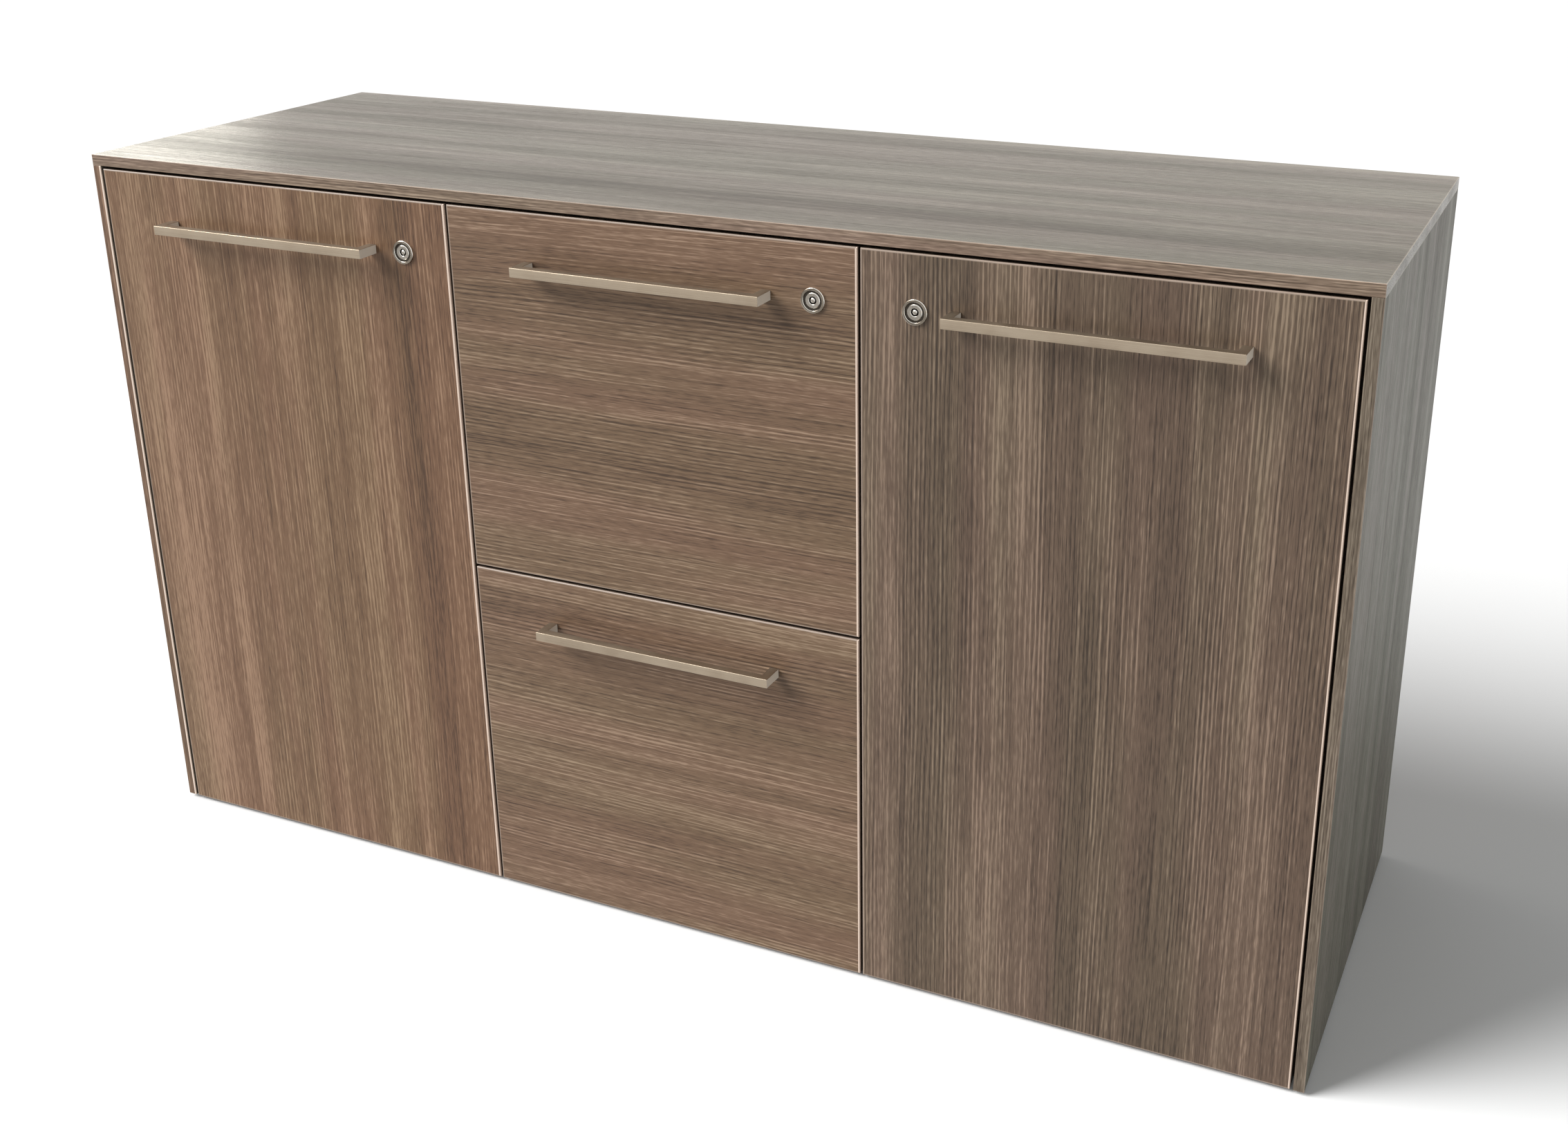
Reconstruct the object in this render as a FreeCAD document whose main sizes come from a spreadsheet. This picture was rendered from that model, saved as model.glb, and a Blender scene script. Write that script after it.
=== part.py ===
"""Office credenza: two hinged doors and two file drawers in a slim laminate shell.

Millimetres, +Z up, +X to the right, fronts facing -Y. The origin is at the middle of the
bounding box's base, so the handles' fronts and the shell's rear are equally far from it.
Every size is a cell of the sheet "Sizes"; every piece is bound to those cells.
"""
import FreeCAD, Part
import os
import re
import Sketcher

OUTPUT_FOLDER = "parts"
NEAR = 1e-4

SIZES = (
    # name, value, meaning
    ("width", 1290, "over the end panels"),
    ("depth", 430, "from the fronts' faces to the rear edge"),
    ("height", 750, "from the floor to the top's surface"),
    ("glide_drop", 4, "height of the case above the floor"),
    ("top_thickness", 11, "top panel"),
    ("end_thickness", 10, "end panels"),
    ("board_thickness", 18, "gables, partitions, bottom, stretchers and shelves"),
    ("back_thickness", 8, "back panel"),
    ("back_recess", 4, "back panel behind the rear edges"),
    ("band_thickness", 1, "edge bands"),
    ("band_arris", 0.6, "chamfer on the edge bands of the fronts"),
    ("shell_arris", 0.4, "chamfer on the edge bands of the top and ends"),
    ("front_thickness", 18, "doors and drawer fronts"),
    ("reveal", 3, "gap around every front"),
    ("front_standoff", 2, "air between the fronts and the case's front edges"),
    ("stretcher_depth", 80, "stretchers under the top"),
    ("fit_clearance", 0.05, "radial clearance of pins, shanks and plugs"),
    ("cut_spare", 1, "cuts run past a piece's own faces"),
    # shelves
    ("shelf_height", 330, "shelf pins above the case's floor"),
    ("shelf_clearance", 1, "shelf to each side wall"),
    ("shelf_setback", 30, "shelf behind the case's front edges"),
    ("shelf_rear_gap", 2, "shelf to the back panel"),
    ("pin_diameter", 5, "shelf pins"),
    ("pin_hole_depth", 10, "holes for shelf pins"),
    ("pin_hole_spare", 0.5, "holes deeper than the pins"),
    ("pin_hole_pitch", 32, "between shelf pin holes"),
    ("pin_hole_rows", 7, "holes in one column"),
    ("pin_inset", 60, "columns of holes from the boards' front and rear edges"),
    ("pin_head_diameter", 7, "head that carries the shelf"),
    ("pin_head_length", 8, "head out of the wall"),
    ("pin_collar_diameter", 10, "collar against the wall"),
    ("pin_collar_thickness", 0.8, "collar against the wall"),
    ("pin_seat_gap", 0.1, "pin heads to the shelf"),
    # handles
    ("handle_length", 254, "over all"),
    ("handle_bar", 9, "square section"),
    ("handle_projection", 25, "in front of the fronts' faces"),
    ("handle_arris", 0.8, "rounding of the bar's front edges"),
    ("handle_hole_depth", 14, "threaded holes in the legs"),
    ("handle_hole_spare", 1, "threaded holes deeper than the screws"),
    ("hardware_drop", 50.5, "handles and locks under a front's upper edge"),
    ("handle_screw_diameter", 4, "shank"),
    ("screw_head_diameter", 8, "pan head"),
    ("screw_head_height", 2.4, "pan head"),
    ("screw_head_side", 0.6, "upright side of a screw head, as a share of its height"),
    ("screw_head_crown", 0.7, "flat crown of a screw head, as a share of its width"),
    # locks
    ("door_lock_place", 0.611, "door locks, as a share from the edge to the handle"),
    ("drawer_lock_place", 0.502, "drawer lock, as a share from the edge to the handle"),
    ("lock_ring_diameter", 23, "trim ring"),
    ("lock_ring_proud", 2.2, "trim ring in front of the face"),
    ("lock_ring_arris", 0.7, "rounding of the trim ring"),
    ("lock_groove_diameter", 18.4, "recess inside the trim ring"),
    ("lock_groove_depth", 1.1, "recess inside the trim ring"),
    ("lock_body_diameter", 18.6, "threaded housing"),
    ("lock_body_tail", 6, "housing behind the front"),
    ("lock_nut_flats", 23, "hexagon nut, across flats"),
    ("lock_nut_thickness", 4.5, "hexagon nut"),
    ("lock_plug_diameter", 14, "key plug"),
    ("lock_plug_sink", 0.3, "key plug below the trim ring"),
    ("keyway_diameter", 7, "round keyway in the plug's face"),
    ("keyway_post_diameter", 4.4, "post in the middle of the keyway"),
    ("keyway_depth", 6, "round keyway"),
    ("cam_thickness", 2.5, "cam"),
    ("cam_width", 14, "cam"),
    ("cam_taper", 0.8, "half width of the cam's ends, as a share of its half width"),
    ("cam_gap", 0.3, "cam to the housing"),
    ("cam_tip_gap", 1.5, "turned-up cam to the strike's upper leg"),
    ("cam_post_diameter", 8, "plug's tail through the cam"),
    ("cam_screw_diameter", 11, "screw head behind the cam"),
    ("cam_screw_height", 2.6, "screw head behind the cam"),
    ("cam_screw_chamfer", 1, "screw head behind the cam"),
    # strikes
    ("strike_thickness", 2, "folded strike"),
    ("strike_width", 26, "folded strike"),
    ("strike_drop", 13, "strike below the stretcher"),
    ("strike_reach", 22, "leg under the stretcher"),
    ("strike_gap", 1.5, "strike behind the case's front edges"),
    # concealed hinges, measured inwards from the gable's inner face and back from the door's back
    ("hinge_drop", 100, "hinges from the door's ends"),
    ("cup_beyond_gable", 6.5, "cup's centre inwards of the gable's inner face"),
    ("cup_diameter", 34.8, "cup"),
    ("cup_depth", 11.6, "cup"),
    ("cup_wall", 0.8, "cup"),
    ("cup_fit", 0.1, "cup's side to its bore"),
    ("cup_bore_spare", 0.4, "bore deeper than the cup"),
    ("cup_flange", 1.2, "flange on the door's back"),
    ("cup_rim", 2, "rim around the cup's mouth"),
    ("cup_wing_length", 62, "flange, upright"),
    ("cup_wing_width", 20, "flange, across"),
    ("cup_screw_spacing", 48, "flange screws"),
    ("cup_screw_offset", 6, "flange screws from the cup's centre"),
    ("cup_screw_diameter", 3.5, "flange screws"),
    ("cup_screw_length", 12, "flange screws in the door"),
    ("cup_screw_head", 7, "flange screws"),
    ("cup_screw_head_height", 1.2, "flange screws"),
    ("link_thickness", 2, "hinge links"),
    ("link_width", 9, "outer hinge link, upright"),
    ("link_ear", 1.6, "each ear of the outer link's fork"),
    ("fork_reach", 1.2, "end of the fork's slot, as a share of the outer link"),
    ("link_bridge", 0.45, "root of the fork's slot, as a share of the slot's reach"),
    ("inner_link_width", 5, "inner hinge link, upright"),
    ("link_eye_diameter", 4.2, "rolled ends of the links"),
    ("link_pin_diameter", 2.5, "hinge pins"),
    ("outer_pin_side", 4, "outer link's pin, inside the cup's side that is away from the gable"),
    ("outer_pin_back", 8.3, "outer link's pin, behind the door"),
    ("outer_end_side", 4.5, "outer link's end, inside the cup's side next to the gable"),
    ("outer_end_depth", 2.1, "outer link's end, in the cup's mouth"),
    ("inner_pin_side", 5.9, "inner link's pin, inside the cup's side away from the gable"),
    ("nose_gap", 0.2, "arm's nose over the cup's floor"),
    ("inner_end_side", 8.9, "inner link's end, inside the cup's side next to the gable"),
    ("inner_end_rise", 6.6, "inner link's end, over the cup's underside"),
    ("arm_cheek", 1.2, "sheet of the hinge arm"),
    ("arm_gap", 0.4, "links to the arm's cheeks, at each side"),
    ("arm_nose", 2.4, "arm around the foremost pin"),
    ("arm_nose_flat", 0.6, "flat of the nose, as a share of the nose"),
    ("arm_nose_slope", 0.5, "slope of the nose, as a share of the nose"),
    ("arm_brow", 4, "arm in front of and behind the outer link's pin"),
    ("arm_shoulder", 6, "arm's web beyond the outer link's pin"),
    ("arm_height", 12, "arm over the plate, behind"),
    ("arm_length", 74, "arm's rear end, behind the door"),
    ("arm_web_start", 15, "arm's web begins, behind the door"),
    ("arm_heel", 12, "cheeks meet the plate, behind the web's start"),
    ("arm_ramp", 18, "sloping part of the web, front to back"),
    ("plate_setback", 37, "plate screws behind the case's front edges"),
    ("plate_thickness", 2.5, "mounting plate"),
    ("plate_rim", 3, "mounting plate beyond the rib's sides"),
    ("plate_length", 56, "mounting plate, front to back"),
    ("plate_wing", 14, "mounting plate's wings, front to back"),
    ("plate_height", 52, "mounting plate's wings, upright"),
    ("plate_rib_gap", 0.3, "rib inside the arm"),
    ("plate_screw_spacing", 32, "plate screws, upright"),
    ("plate_screw_diameter", 5, "plate screws"),
    ("plate_screw_length", 12, "plate screws in the gable"),
    # drawers
    ("box_lift", 28, "box above its front's lower edge"),
    ("box_headroom", 12.5, "box under the lock's nut"),
    ("box_thickness", 12, "drawer box boards"),
    ("box_bottom_thickness", 6, "drawer box bottom"),
    ("box_bottom_rise", 10, "groove above the box's lower edge"),
    ("groove_depth", 6, "groove for the bottom"),
    ("groove_clearance", 0.15, "bottom in its groove"),
    ("box_screw_inset", 45, "front's screws from the box's sides"),
    ("box_screw_rise", 50, "front's screws from the box's upper and lower edges"),
    ("box_screw_diameter", 4, "front's screws"),
    ("box_screw_bite", 12, "front's screws in the front"),
    ("rail_inset", 18.5, "hanging-file rails' middles from the box's inner sides"),
    ("rail_thickness", 2.5, "hanging-file rails"),
    ("rail_height", 14, "hanging-file rails"),
    ("rail_hook", 1.5, "rail over the box's edge"),
    # telescopic slides
    ("slide_thickness", 12.7, "closed slide between partition and box"),
    ("slide_setback", 3, "slide behind the case's front edges"),
    ("slide_rear_gap", 45, "slide to the boards' rear edges"),
    ("slide_box_overlap", 10, "box behind the slide's end"),
    ("slide_rise", 110, "slide's middle above the box's lower edge"),
    ("slide_sheet", 1.2, "slide's sheet"),
    ("cabinet_channel_height", 45, "cabinet member"),
    ("cabinet_channel_flange", 9.5, "cabinet member"),
    ("middle_channel_height", 35, "middle member"),
    ("middle_channel_flange", 8, "middle member"),
    ("middle_channel_offset", 2.6, "middle member from the partition"),
    ("drawer_channel_height", 25, "drawer member"),
    ("drawer_channel_flange", 7, "drawer member"),
    ("cage_gap", 0.3, "ball cages to the members"),
    ("cage_width", 4.4, "ball cages"),
    ("cage_margin", 8, "ball cages from the middle member's ends"),
    # levelling glides
    ("glide_inset", 32, "glides from the gables"),
    ("glide_setback", 45, "glides from the boards' front and rear edges"),
    ("glide_diameter", 30, "foot"),
    ("glide_arris", 1.2, "foot"),
    ("glide_gap", 0.3, "foot to the case when screwed home"),
    ("glide_stem_diameter", 8, "stem"),
    ("glide_stem_length", 15, "stem in the case"),
    ("glide_stem_chamfer", 1, "stem's upper end"),
    ("insert_diameter", 12, "threaded insert"),
    ("insert_length", 16, "threaded insert"),
    # back panel screws
    ("back_screw_inset", 70, "screws from the back panel's upper and lower edges"),
    ("back_screw_diameter", 4, "back panel screws"),
    ("back_screw_bite", 20, "back panel screws in the boards"),
)
SIZE_NAMES = {name for name, value, meaning in SIZES}

# Lengths worked out from the sizes, as formulas.
FRONT_WIDTH = "((width - 2 * end_thickness - 4 * reveal) / 3)"
DOOR_HEIGHT = "(height - glide_drop - top_thickness - reveal)"
DRAWER_HEIGHT = f"(({DOOR_HEIGHT} - reveal) / 2)"
FACE = "(-(depth - handle_projection) / 2)"
REAR = "((depth + handle_projection) / 2)"
FRONT_BACK = f"({FACE} + front_thickness)"
CASE_FRONT = f"({FRONT_BACK} + front_standoff)"
CASE_REAR = f"({REAR} - back_recess - back_thickness)"
CASE_DEPTH = f"({CASE_REAR} - {CASE_FRONT})"
CASE_TOP = "(height - top_thickness)"
SHELL_HEIGHT = f"({CASE_TOP} - glide_drop)"
FLOOR_TOP = "(glide_drop + board_thickness)"
STRETCHER_UNDERSIDE = f"({CASE_TOP} - board_thickness)"
SEAM = f"({FRONT_WIDTH} / 2 + reveal / 2)"
END_INNER = "(width / 2 - end_thickness)"
GABLE_INNER = f"({END_INNER} - board_thickness)"
PARTITION_OUTER = f"({SEAM} + board_thickness / 2)"
PARTITION_INNER = f"({SEAM} - board_thickness / 2)"
BAY_WIDTH = f"({GABLE_INNER} - {PARTITION_OUTER})"
OPENING_WIDTH = f"(2 * {PARTITION_INNER})"
BOX_WIDTH = f"({OPENING_WIDTH} - 2 * slide_thickness)"
SLIDE_LENGTH = f"({CASE_DEPTH} - slide_setback - slide_rear_gap)"
BOX_DEPTH = f"({SLIDE_LENGTH} + slide_box_overlap)"
BOX_HEADROOM = "(hardware_drop + lock_nut_flats / 2 + box_headroom)"
BOX_HEIGHT = f"({DRAWER_HEIGHT} - box_lift - {BOX_HEADROOM})"
BOX_INNER_WIDTH = f"({BOX_WIDTH} - 2 * box_thickness)"
RAIL_SPACING = f"({BOX_INNER_WIDTH} - 2 * rail_inset)"
HANDLE_LEG = "(handle_length / 2 - handle_bar / 2)"
HANDLE_MARGIN = f"(({FRONT_WIDTH} - handle_length) / 2)"
DOOR_BACKSET = f"({HANDLE_MARGIN} * door_lock_place)"
DRAWER_BACKSET = f"({HANDLE_MARGIN} * drawer_lock_place)"
DOOR_LOCK = f"({SEAM} + reveal / 2 + {DOOR_BACKSET})"
DRAWER_LOCK = f"({FRONT_WIDTH} / 2 - {DRAWER_BACKSET})"
LOCK_HEIGHT = f"(glide_drop + {DOOR_HEIGHT} - hardware_drop)"
LOCK_TAIL = "(front_thickness + lock_body_tail)"
CAM_REACH = f"({STRETCHER_UNDERSIDE} - strike_thickness - cam_tip_gap - {LOCK_HEIGHT})"
CUP_SETBACK = "(board_thickness + cup_beyond_gable - reveal)"
OUTER_PIN = ("(cup_beyond_gable + cup_diameter / 2 - outer_pin_side)", "outer_pin_back")
OUTER_END = ("(cup_beyond_gable - cup_diameter / 2 + outer_end_side)", "-outer_end_depth")
INNER_PIN = ("(cup_beyond_gable + cup_diameter / 2 - inner_pin_side)",
             "(cup_wall + nose_gap + arm_nose - cup_depth)")
INNER_END = ("(cup_beyond_gable - cup_diameter / 2 + inner_end_side)",
             "(inner_end_rise - cup_depth)")

# Turns from a piece's own drawing plane: the drawing's x and y, then its thickness.
FLAT = FreeCAD.Rotation()
STANDING = FreeCAD.Rotation(FreeCAD.Vector(1, 0, 0), 90)  # across, up, towards the front
REARWARD = FreeCAD.Rotation(FreeCAD.Vector(1, 0, 0), -90)  # across, down, towards the rear
SIDEWAYS = FreeCAD.Rotation(FreeCAD.Vector(1, 1, 1), 120)  # rearwards, up, to the right
ABOUT = FreeCAD.Rotation(FreeCAD.Vector(0, 0, 1), 180)  # turned about in its own plane
OVER = FreeCAD.Rotation(FreeCAD.Vector(0, 1, 0), 180)  # turned over, as for the right slides

document = FreeCAD.newDocument("credenza")
nodes = []


# ---- sheet, binding and placing ---------------------------------------------------------
def make_sheet():
    """Write the sizes into a sheet: name, plain number, meaning."""
    sheet = document.addObject("Spreadsheet::Sheet", "Sizes")
    for row, (name, value, meaning) in enumerate(SIZES, 1):
        sheet.set(f"A{row}", name)
        sheet.set(f"B{row}", str(value))
        sheet.set(f"C{row}", meaning)
        sheet.setAlias(f"B{row}", name)
    document.recompute()


def in_sheet(formula):
    """Point every size's name in a formula at its cell."""
    return re.sub(r"[a-z_]+", lambda word: cell_of(word.group()), formula)


def cell_of(word):
    """Name a size's cell, or hand back a word that is no size, such as sqrt."""
    return f"Sizes.{word}" if word in SIZE_NAMES else word


def bind(target, **formulas):
    """Bind properties of an object to formulas of the sizes."""
    for name, formula in formulas.items():
        target.setExpression(name, in_sheet(formula))


def place(target, x="0", y="0", z="0", turn=FLAT):
    """Put an object at a place given by formulas, turned out of its drawing plane."""
    target.Placement = FreeCAD.Placement(FreeCAD.Vector(), turn)
    for axis, formula in (("x", x), ("y", y), ("z", z)):
        target.setExpression(f"Placement.Base.{axis}", in_sheet(formula))
    return target


def keep(target, label):
    """Give a finished piece its name and list it for export."""
    target.Label = label
    nodes.append(target)
    return target


def copy_of(master, x, y, z, turn=FLAT):
    """Put one more copy of a master piece in its place."""
    link = document.addObject("App::Link", f"{master.Name}_copy")
    link.LinkedObject = master
    return place(link, x, y, z, turn)


def group(name, members):
    """Collect separate solids of one kind in one piece list entry."""
    compound = document.addObject("Part::Compound", name)
    compound.Links = members
    return compound


def mirrored(source, name):
    """Mirror a piece from the left half to the right half."""
    mirror = document.addObject("Part::Mirroring", name)
    mirror.Source = source
    mirror.Normal = (1, 0, 0)
    return mirror


# ---- drawing ----------------------------------------------------------------------------
def make_body(name):
    return document.addObject("PartDesign::Body", name)


def draw(body, name, plane="XY_Plane", lift="0"):
    """Start a sketch on one of the body's own origin planes, lifted along its normal."""
    sketch = body.newObject("Sketcher::SketchObject", name)
    support = next(item for item in body.Origin.OriginFeatures if item.Role == plane)
    sketch.AttachmentSupport = [(support, "")]
    sketch.MapMode = "FlatFace"
    sketch.setExpression("AttachmentOffset.Base.z", in_sheet(lift))
    return sketch


def dimension(sketch, kind, formula, *where):
    """Add one driving dimension to a sketch, bound to a formula."""
    index = sketch.addConstraint(Sketcher.Constraint(kind, *where, 1.0))
    sketch.setExpression(f"Constraints[{index}]", in_sheet(formula))


def outline(sketch, corners):
    """Draw a closed outline through corners given as pairs of formulas."""
    first = sketch.GeometryCount
    count = len(corners)
    start = [FreeCAD.Rotation(FreeCAD.Vector(0, 0, 1), 360 * step / count).multVec(
        FreeCAD.Vector(1, 0, 0)) for step in range(count)]
    sketch.addGeometry([Part.LineSegment(start[step], start[(step + 1) % count])
                        for step in range(count)], False)
    sketch.addConstraint([Sketcher.Constraint("Coincident", first + step, 2,
                                              first + (step + 1) % count, 1)
                          for step in range(count)])
    for step, (across, up) in enumerate(corners):
        dimension(sketch, "DistanceX", across, -1, 1, first + step, 1)
        dimension(sketch, "DistanceY", up, -1, 1, first + step, 1)
    return sketch


def rectangle(left, low, width, height):
    """List the corners of a rectangle."""
    right = f"({left}) + ({width})"
    high = f"({low}) + ({height})"
    return (left, low), (right, low), (right, high), (left, high)


def circles(sketch, *rounds):
    """Draw circles, each given by its centre and diameter."""
    for across, up, diameter in rounds:
        index = sketch.GeometryCount
        sketch.addGeometry(Part.Circle(FreeCAD.Vector(index + 1, 1, 0),
                                       FreeCAD.Vector(0, 0, 1), 1), False)
        dimension(sketch, "DistanceX", across, -1, 1, index, 3)
        dimension(sketch, "DistanceY", up, -1, 1, index, 3)
        dimension(sketch, "Diameter", diameter, index)
    return sketch


def pad(sketch, length, backwards=False):
    """Raise a sketch's outline along its normal, or against it."""
    feature = sketch.getParentGeoFeatureGroup().newObject("PartDesign::Pad", "Pad")
    feature.Profile = sketch
    feature.Reversed = backwards
    bind(feature, Length=length)
    return feature


def pocket(sketch, depth, upwards=False):
    """Cut a sketch's outline down into the body, or upwards from its lower face."""
    feature = sketch.getParentGeoFeatureGroup().newObject("PartDesign::Pocket", "Pocket")
    feature.Profile = sketch
    feature.Reversed = upwards
    bind(feature, Length=depth)
    return feature


def revolve(sketch):
    """Turn a profile about the sketch's upright axis."""
    feature = sketch.getParentGeoFeatureGroup().newObject("PartDesign::Revolution", "Turned")
    feature.Profile = sketch
    feature.ReferenceAxis = (sketch, ["V_Axis"])
    feature.Angle = 360
    return feature


def turned(name, profile):
    """Make a turned piece from its profile: radius and height pairs."""
    body = make_body(name)
    revolve(outline(draw(body, "Profile", "XZ_Plane"), profile))
    return body


def box(name, length, width, height):
    """Make a plain rectangular board or block."""
    block = document.addObject("Part::Box", name)
    bind(block, Length=length, Width=width, Height=height)
    return block


def rim_edges(shape, coordinate):
    """Name the edges of a shape's foremost face, by coordinate X, Y or Z, on its outline."""
    bounds = shape.BoundBox
    level = getattr(bounds, f"{coordinate}Max")
    names = []
    for index, edge in enumerate(shape.Edges, 1):
        limits = edge.BoundBox
        on_face = abs(getattr(limits, f"{coordinate}Min") - level) < NEAR
        sides = [axis for axis in "XYZ" if axis != coordinate]
        on_outline = any(
            getattr(limits, f"{axis}Length") < NEAR
            and min(abs(getattr(limits, f"{axis}Min") - getattr(bounds, f"{axis}Min")),
                    abs(getattr(limits, f"{axis}Max") - getattr(bounds, f"{axis}Max"))) < NEAR
            for axis in sides)
        if on_face and on_outline:
            names.append(f"Edge{index}")
    return names


def dress(kind, feature, coordinate, size):
    """Chamfer or round the outline of a body's foremost face."""
    document.recompute()
    dressing = feature.getParentGeoFeatureGroup().newObject(f"PartDesign::{kind}", kind)
    dressing.Base = (feature, rim_edges(feature.Shape, coordinate))
    bind(dressing, **{"Size" if kind == "Chamfer" else "Radius": size})
    return dressing


def make_screw(name, diameter, length, head_diameter, head_height):
    """Make a pan-head screw: its head's seat at the origin, its head upwards."""
    shank = f"{diameter} / 2"
    head = f"{head_diameter} / 2"
    return turned(name, (("0", f"-({length})"), (shank, f"-({length})"), (shank, "0"),
                         (head, "0"), (head, f"{head_height} * screw_head_side"),
                         (f"{head} * screw_head_crown", head_height), ("0", head_height)))


def shank_hole(across, up, diameter):
    """Size a hole for a screw or pin with the common clearance."""
    return across, up, f"{diameter} + 2 * fit_clearance"


# ---- shell and case ---------------------------------------------------------------------
def build_shell():
    """Build the slim outer panels: top, ends and their front edge bands."""
    top = box("top_panel", "width", "depth - band_thickness", "top_thickness")
    keep(place(top, "-width / 2", f"{FACE} + band_thickness", CASE_TOP), "top_panel")
    ends = []
    bands = [edge_band("top_band", "width", "top_thickness", "-width / 2", CASE_TOP)]
    for side, left in (("left", "-width / 2"), ("right", END_INNER)):
        end = box(f"{side}_end", "end_thickness", "depth - band_thickness", SHELL_HEIGHT)
        ends.append(place(end, left, f"{FACE} + band_thickness", "glide_drop"))
        bands.append(edge_band(f"{side}_end_band", "end_thickness", SHELL_HEIGHT, left,
                               "glide_drop"))
    keep(group("end_panels", ends), "end_panels")
    keep(group("shell_edge_bands", bands), "shell_edge_bands")


def edge_band(name, width, height, left, low):
    """Build the band on the front edge of a shell panel, its outer arrises chamfered."""
    band = make_body(name)
    rim = pad(outline(draw(band, "Outline"), rectangle("0", "0", width, height)),
              "band_thickness")
    dress("Chamfer", rim, "Z", "shell_arris")
    return place(band, left, f"{FACE} + band_thickness", low, STANDING)


def back_screw_heights():
    """List the back panel screws' heights above the case's lower edge."""
    return ("back_screw_inset", f"{SHELL_HEIGHT} / 2", f"{SHELL_HEIGHT} - back_screw_inset")


def drill_shelf_holes(body, first_height, face, upwards):
    """Drill two columns of shelf pin holes into one face of an upright board."""
    diameter = "pin_diameter"
    sketch = circles(draw(body, "PinHoles", lift=face),
                     shank_hole("pin_inset", first_height, diameter),
                     shank_hole(f"{CASE_DEPTH} - pin_inset", first_height, diameter))
    hole = pocket(sketch, "pin_hole_depth", upwards)
    column = body.newObject("PartDesign::LinearPattern", "PinColumns")
    column.Originals = [hole]
    column.Direction = (sketch, ["V_Axis"])
    bind(column, Length="pin_hole_pitch * (pin_hole_rows - 1)", Occurrences="pin_hole_rows")
    body.Tip = column


def upright_board(name, height, foot):
    """Make a gable or partition, lying flat, with pilot holes for the back panel's screws."""
    body = make_body(name)
    pad(outline(draw(body, "Outline"), rectangle("0", "0", CASE_DEPTH, height)),
        "board_thickness")
    rear = draw(body, "BackScrewHoles", "YZ_Plane", CASE_DEPTH)
    circles(rear, *(shank_hole(f"{level} - ({foot} - glide_drop)", "board_thickness / 2",
                               "back_screw_diameter") for level in back_screw_heights()))
    pocket(rear, "back_screw_bite")
    return body


def build_case():
    """Build the case inside the shell: uprights, bottom, back, stretchers and shelves."""
    first_hole = "shelf_height - pin_hole_pitch * floor((pin_hole_rows - 1) / 2)"

    gable = upright_board("left_gable", SHELL_HEIGHT, "glide_drop")
    plate_holes = draw(gable, "PlateScrewHoles", lift="board_thickness")
    circles(plate_holes, *(shank_hole("plate_setback", height, "plate_screw_diameter")
                           for height in plate_screw_heights()))
    pocket(plate_holes, "plate_screw_length")
    drill_shelf_holes(gable, f"{first_hole} + board_thickness", "board_thickness", False)
    keep(place(gable, f"-{END_INNER}", CASE_FRONT, "glide_drop", SIDEWAYS), "left_gable")
    keep(mirrored(gable, "right_gable"), "right_gable")

    partition = upright_board("left_partition", f"{CASE_TOP} - {FLOOR_TOP}", FLOOR_TOP)
    drill_shelf_holes(partition, first_hole, "0", True)
    keep(place(partition, f"-{PARTITION_OUTER}", CASE_FRONT, FLOOR_TOP, SIDEWAYS),
         "left_partition")
    keep(mirrored(partition, "right_partition"), "right_partition")

    bottom = make_body("bottom_panel")
    pad(outline(draw(bottom, "Outline"),
                rectangle(f"-{GABLE_INNER}", "0", f"2 * {GABLE_INNER}", CASE_DEPTH)),
        "board_thickness")
    holes = draw(bottom, "InsertHoles", lift="board_thickness")
    circles(holes, *(shank_hole(across, f"({rear}) - {CASE_FRONT}", "insert_diameter")
                     for name, across, rear in glide_places()))
    pocket(holes, "board_thickness")
    keep(place(bottom, "0", CASE_FRONT, "glide_drop"), "bottom_panel")

    back = make_body("back_panel")
    pad(outline(draw(back, "Outline"),
                rectangle(f"-{END_INNER}", "0", f"2 * {END_INNER}", SHELL_HEIGHT)),
        "back_thickness")
    holes = draw(back, "ScrewHoles", lift="back_thickness")
    circles(holes, *(shank_hole(across, level, "back_screw_diameter")
                     for across in upright_middles() for level in back_screw_heights()))
    pocket(holes, "back_thickness")
    keep(place(back, "0", f"{REAR} - back_recess", "glide_drop", STANDING), "back_panel")

    screw = make_screw("back_screw", "back_screw_diameter", "back_thickness + back_screw_bite",
                       "screw_head_diameter", "screw_head_height")
    screws = [copy_of(screw, across, f"{REAR} - back_recess", f"glide_drop + {level}", REARWARD)
              for across in upright_middles() for level in back_screw_heights()]
    keep(group("back_panel_screws", screws), "back_panel_screws")

    stretchers = []
    for bay, (left, width) in bays().items():
        for end, rear in (("front", CASE_FRONT), ("rear", f"{CASE_REAR} - stretcher_depth")):
            rail = box(f"{bay}_{end}_stretcher", width, "stretcher_depth", "board_thickness")
            stretchers.append(place(rail, left, rear, STRETCHER_UNDERSIDE))
    keep(group("stretchers", stretchers), "stretchers")


def upright_middles():
    """List where the four uprights' middles stand, across the case."""
    gable = f"({END_INNER} - board_thickness / 2)"
    return f"-{gable}", f"-{SEAM}", SEAM, gable


def bays():
    """Give each bay's left edge and clear width."""
    return {"left": (f"-{GABLE_INNER}", BAY_WIDTH),
            "middle": (f"-{PARTITION_INNER}", OPENING_WIDTH),
            "right": (PARTITION_OUTER, BAY_WIDTH)}


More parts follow.
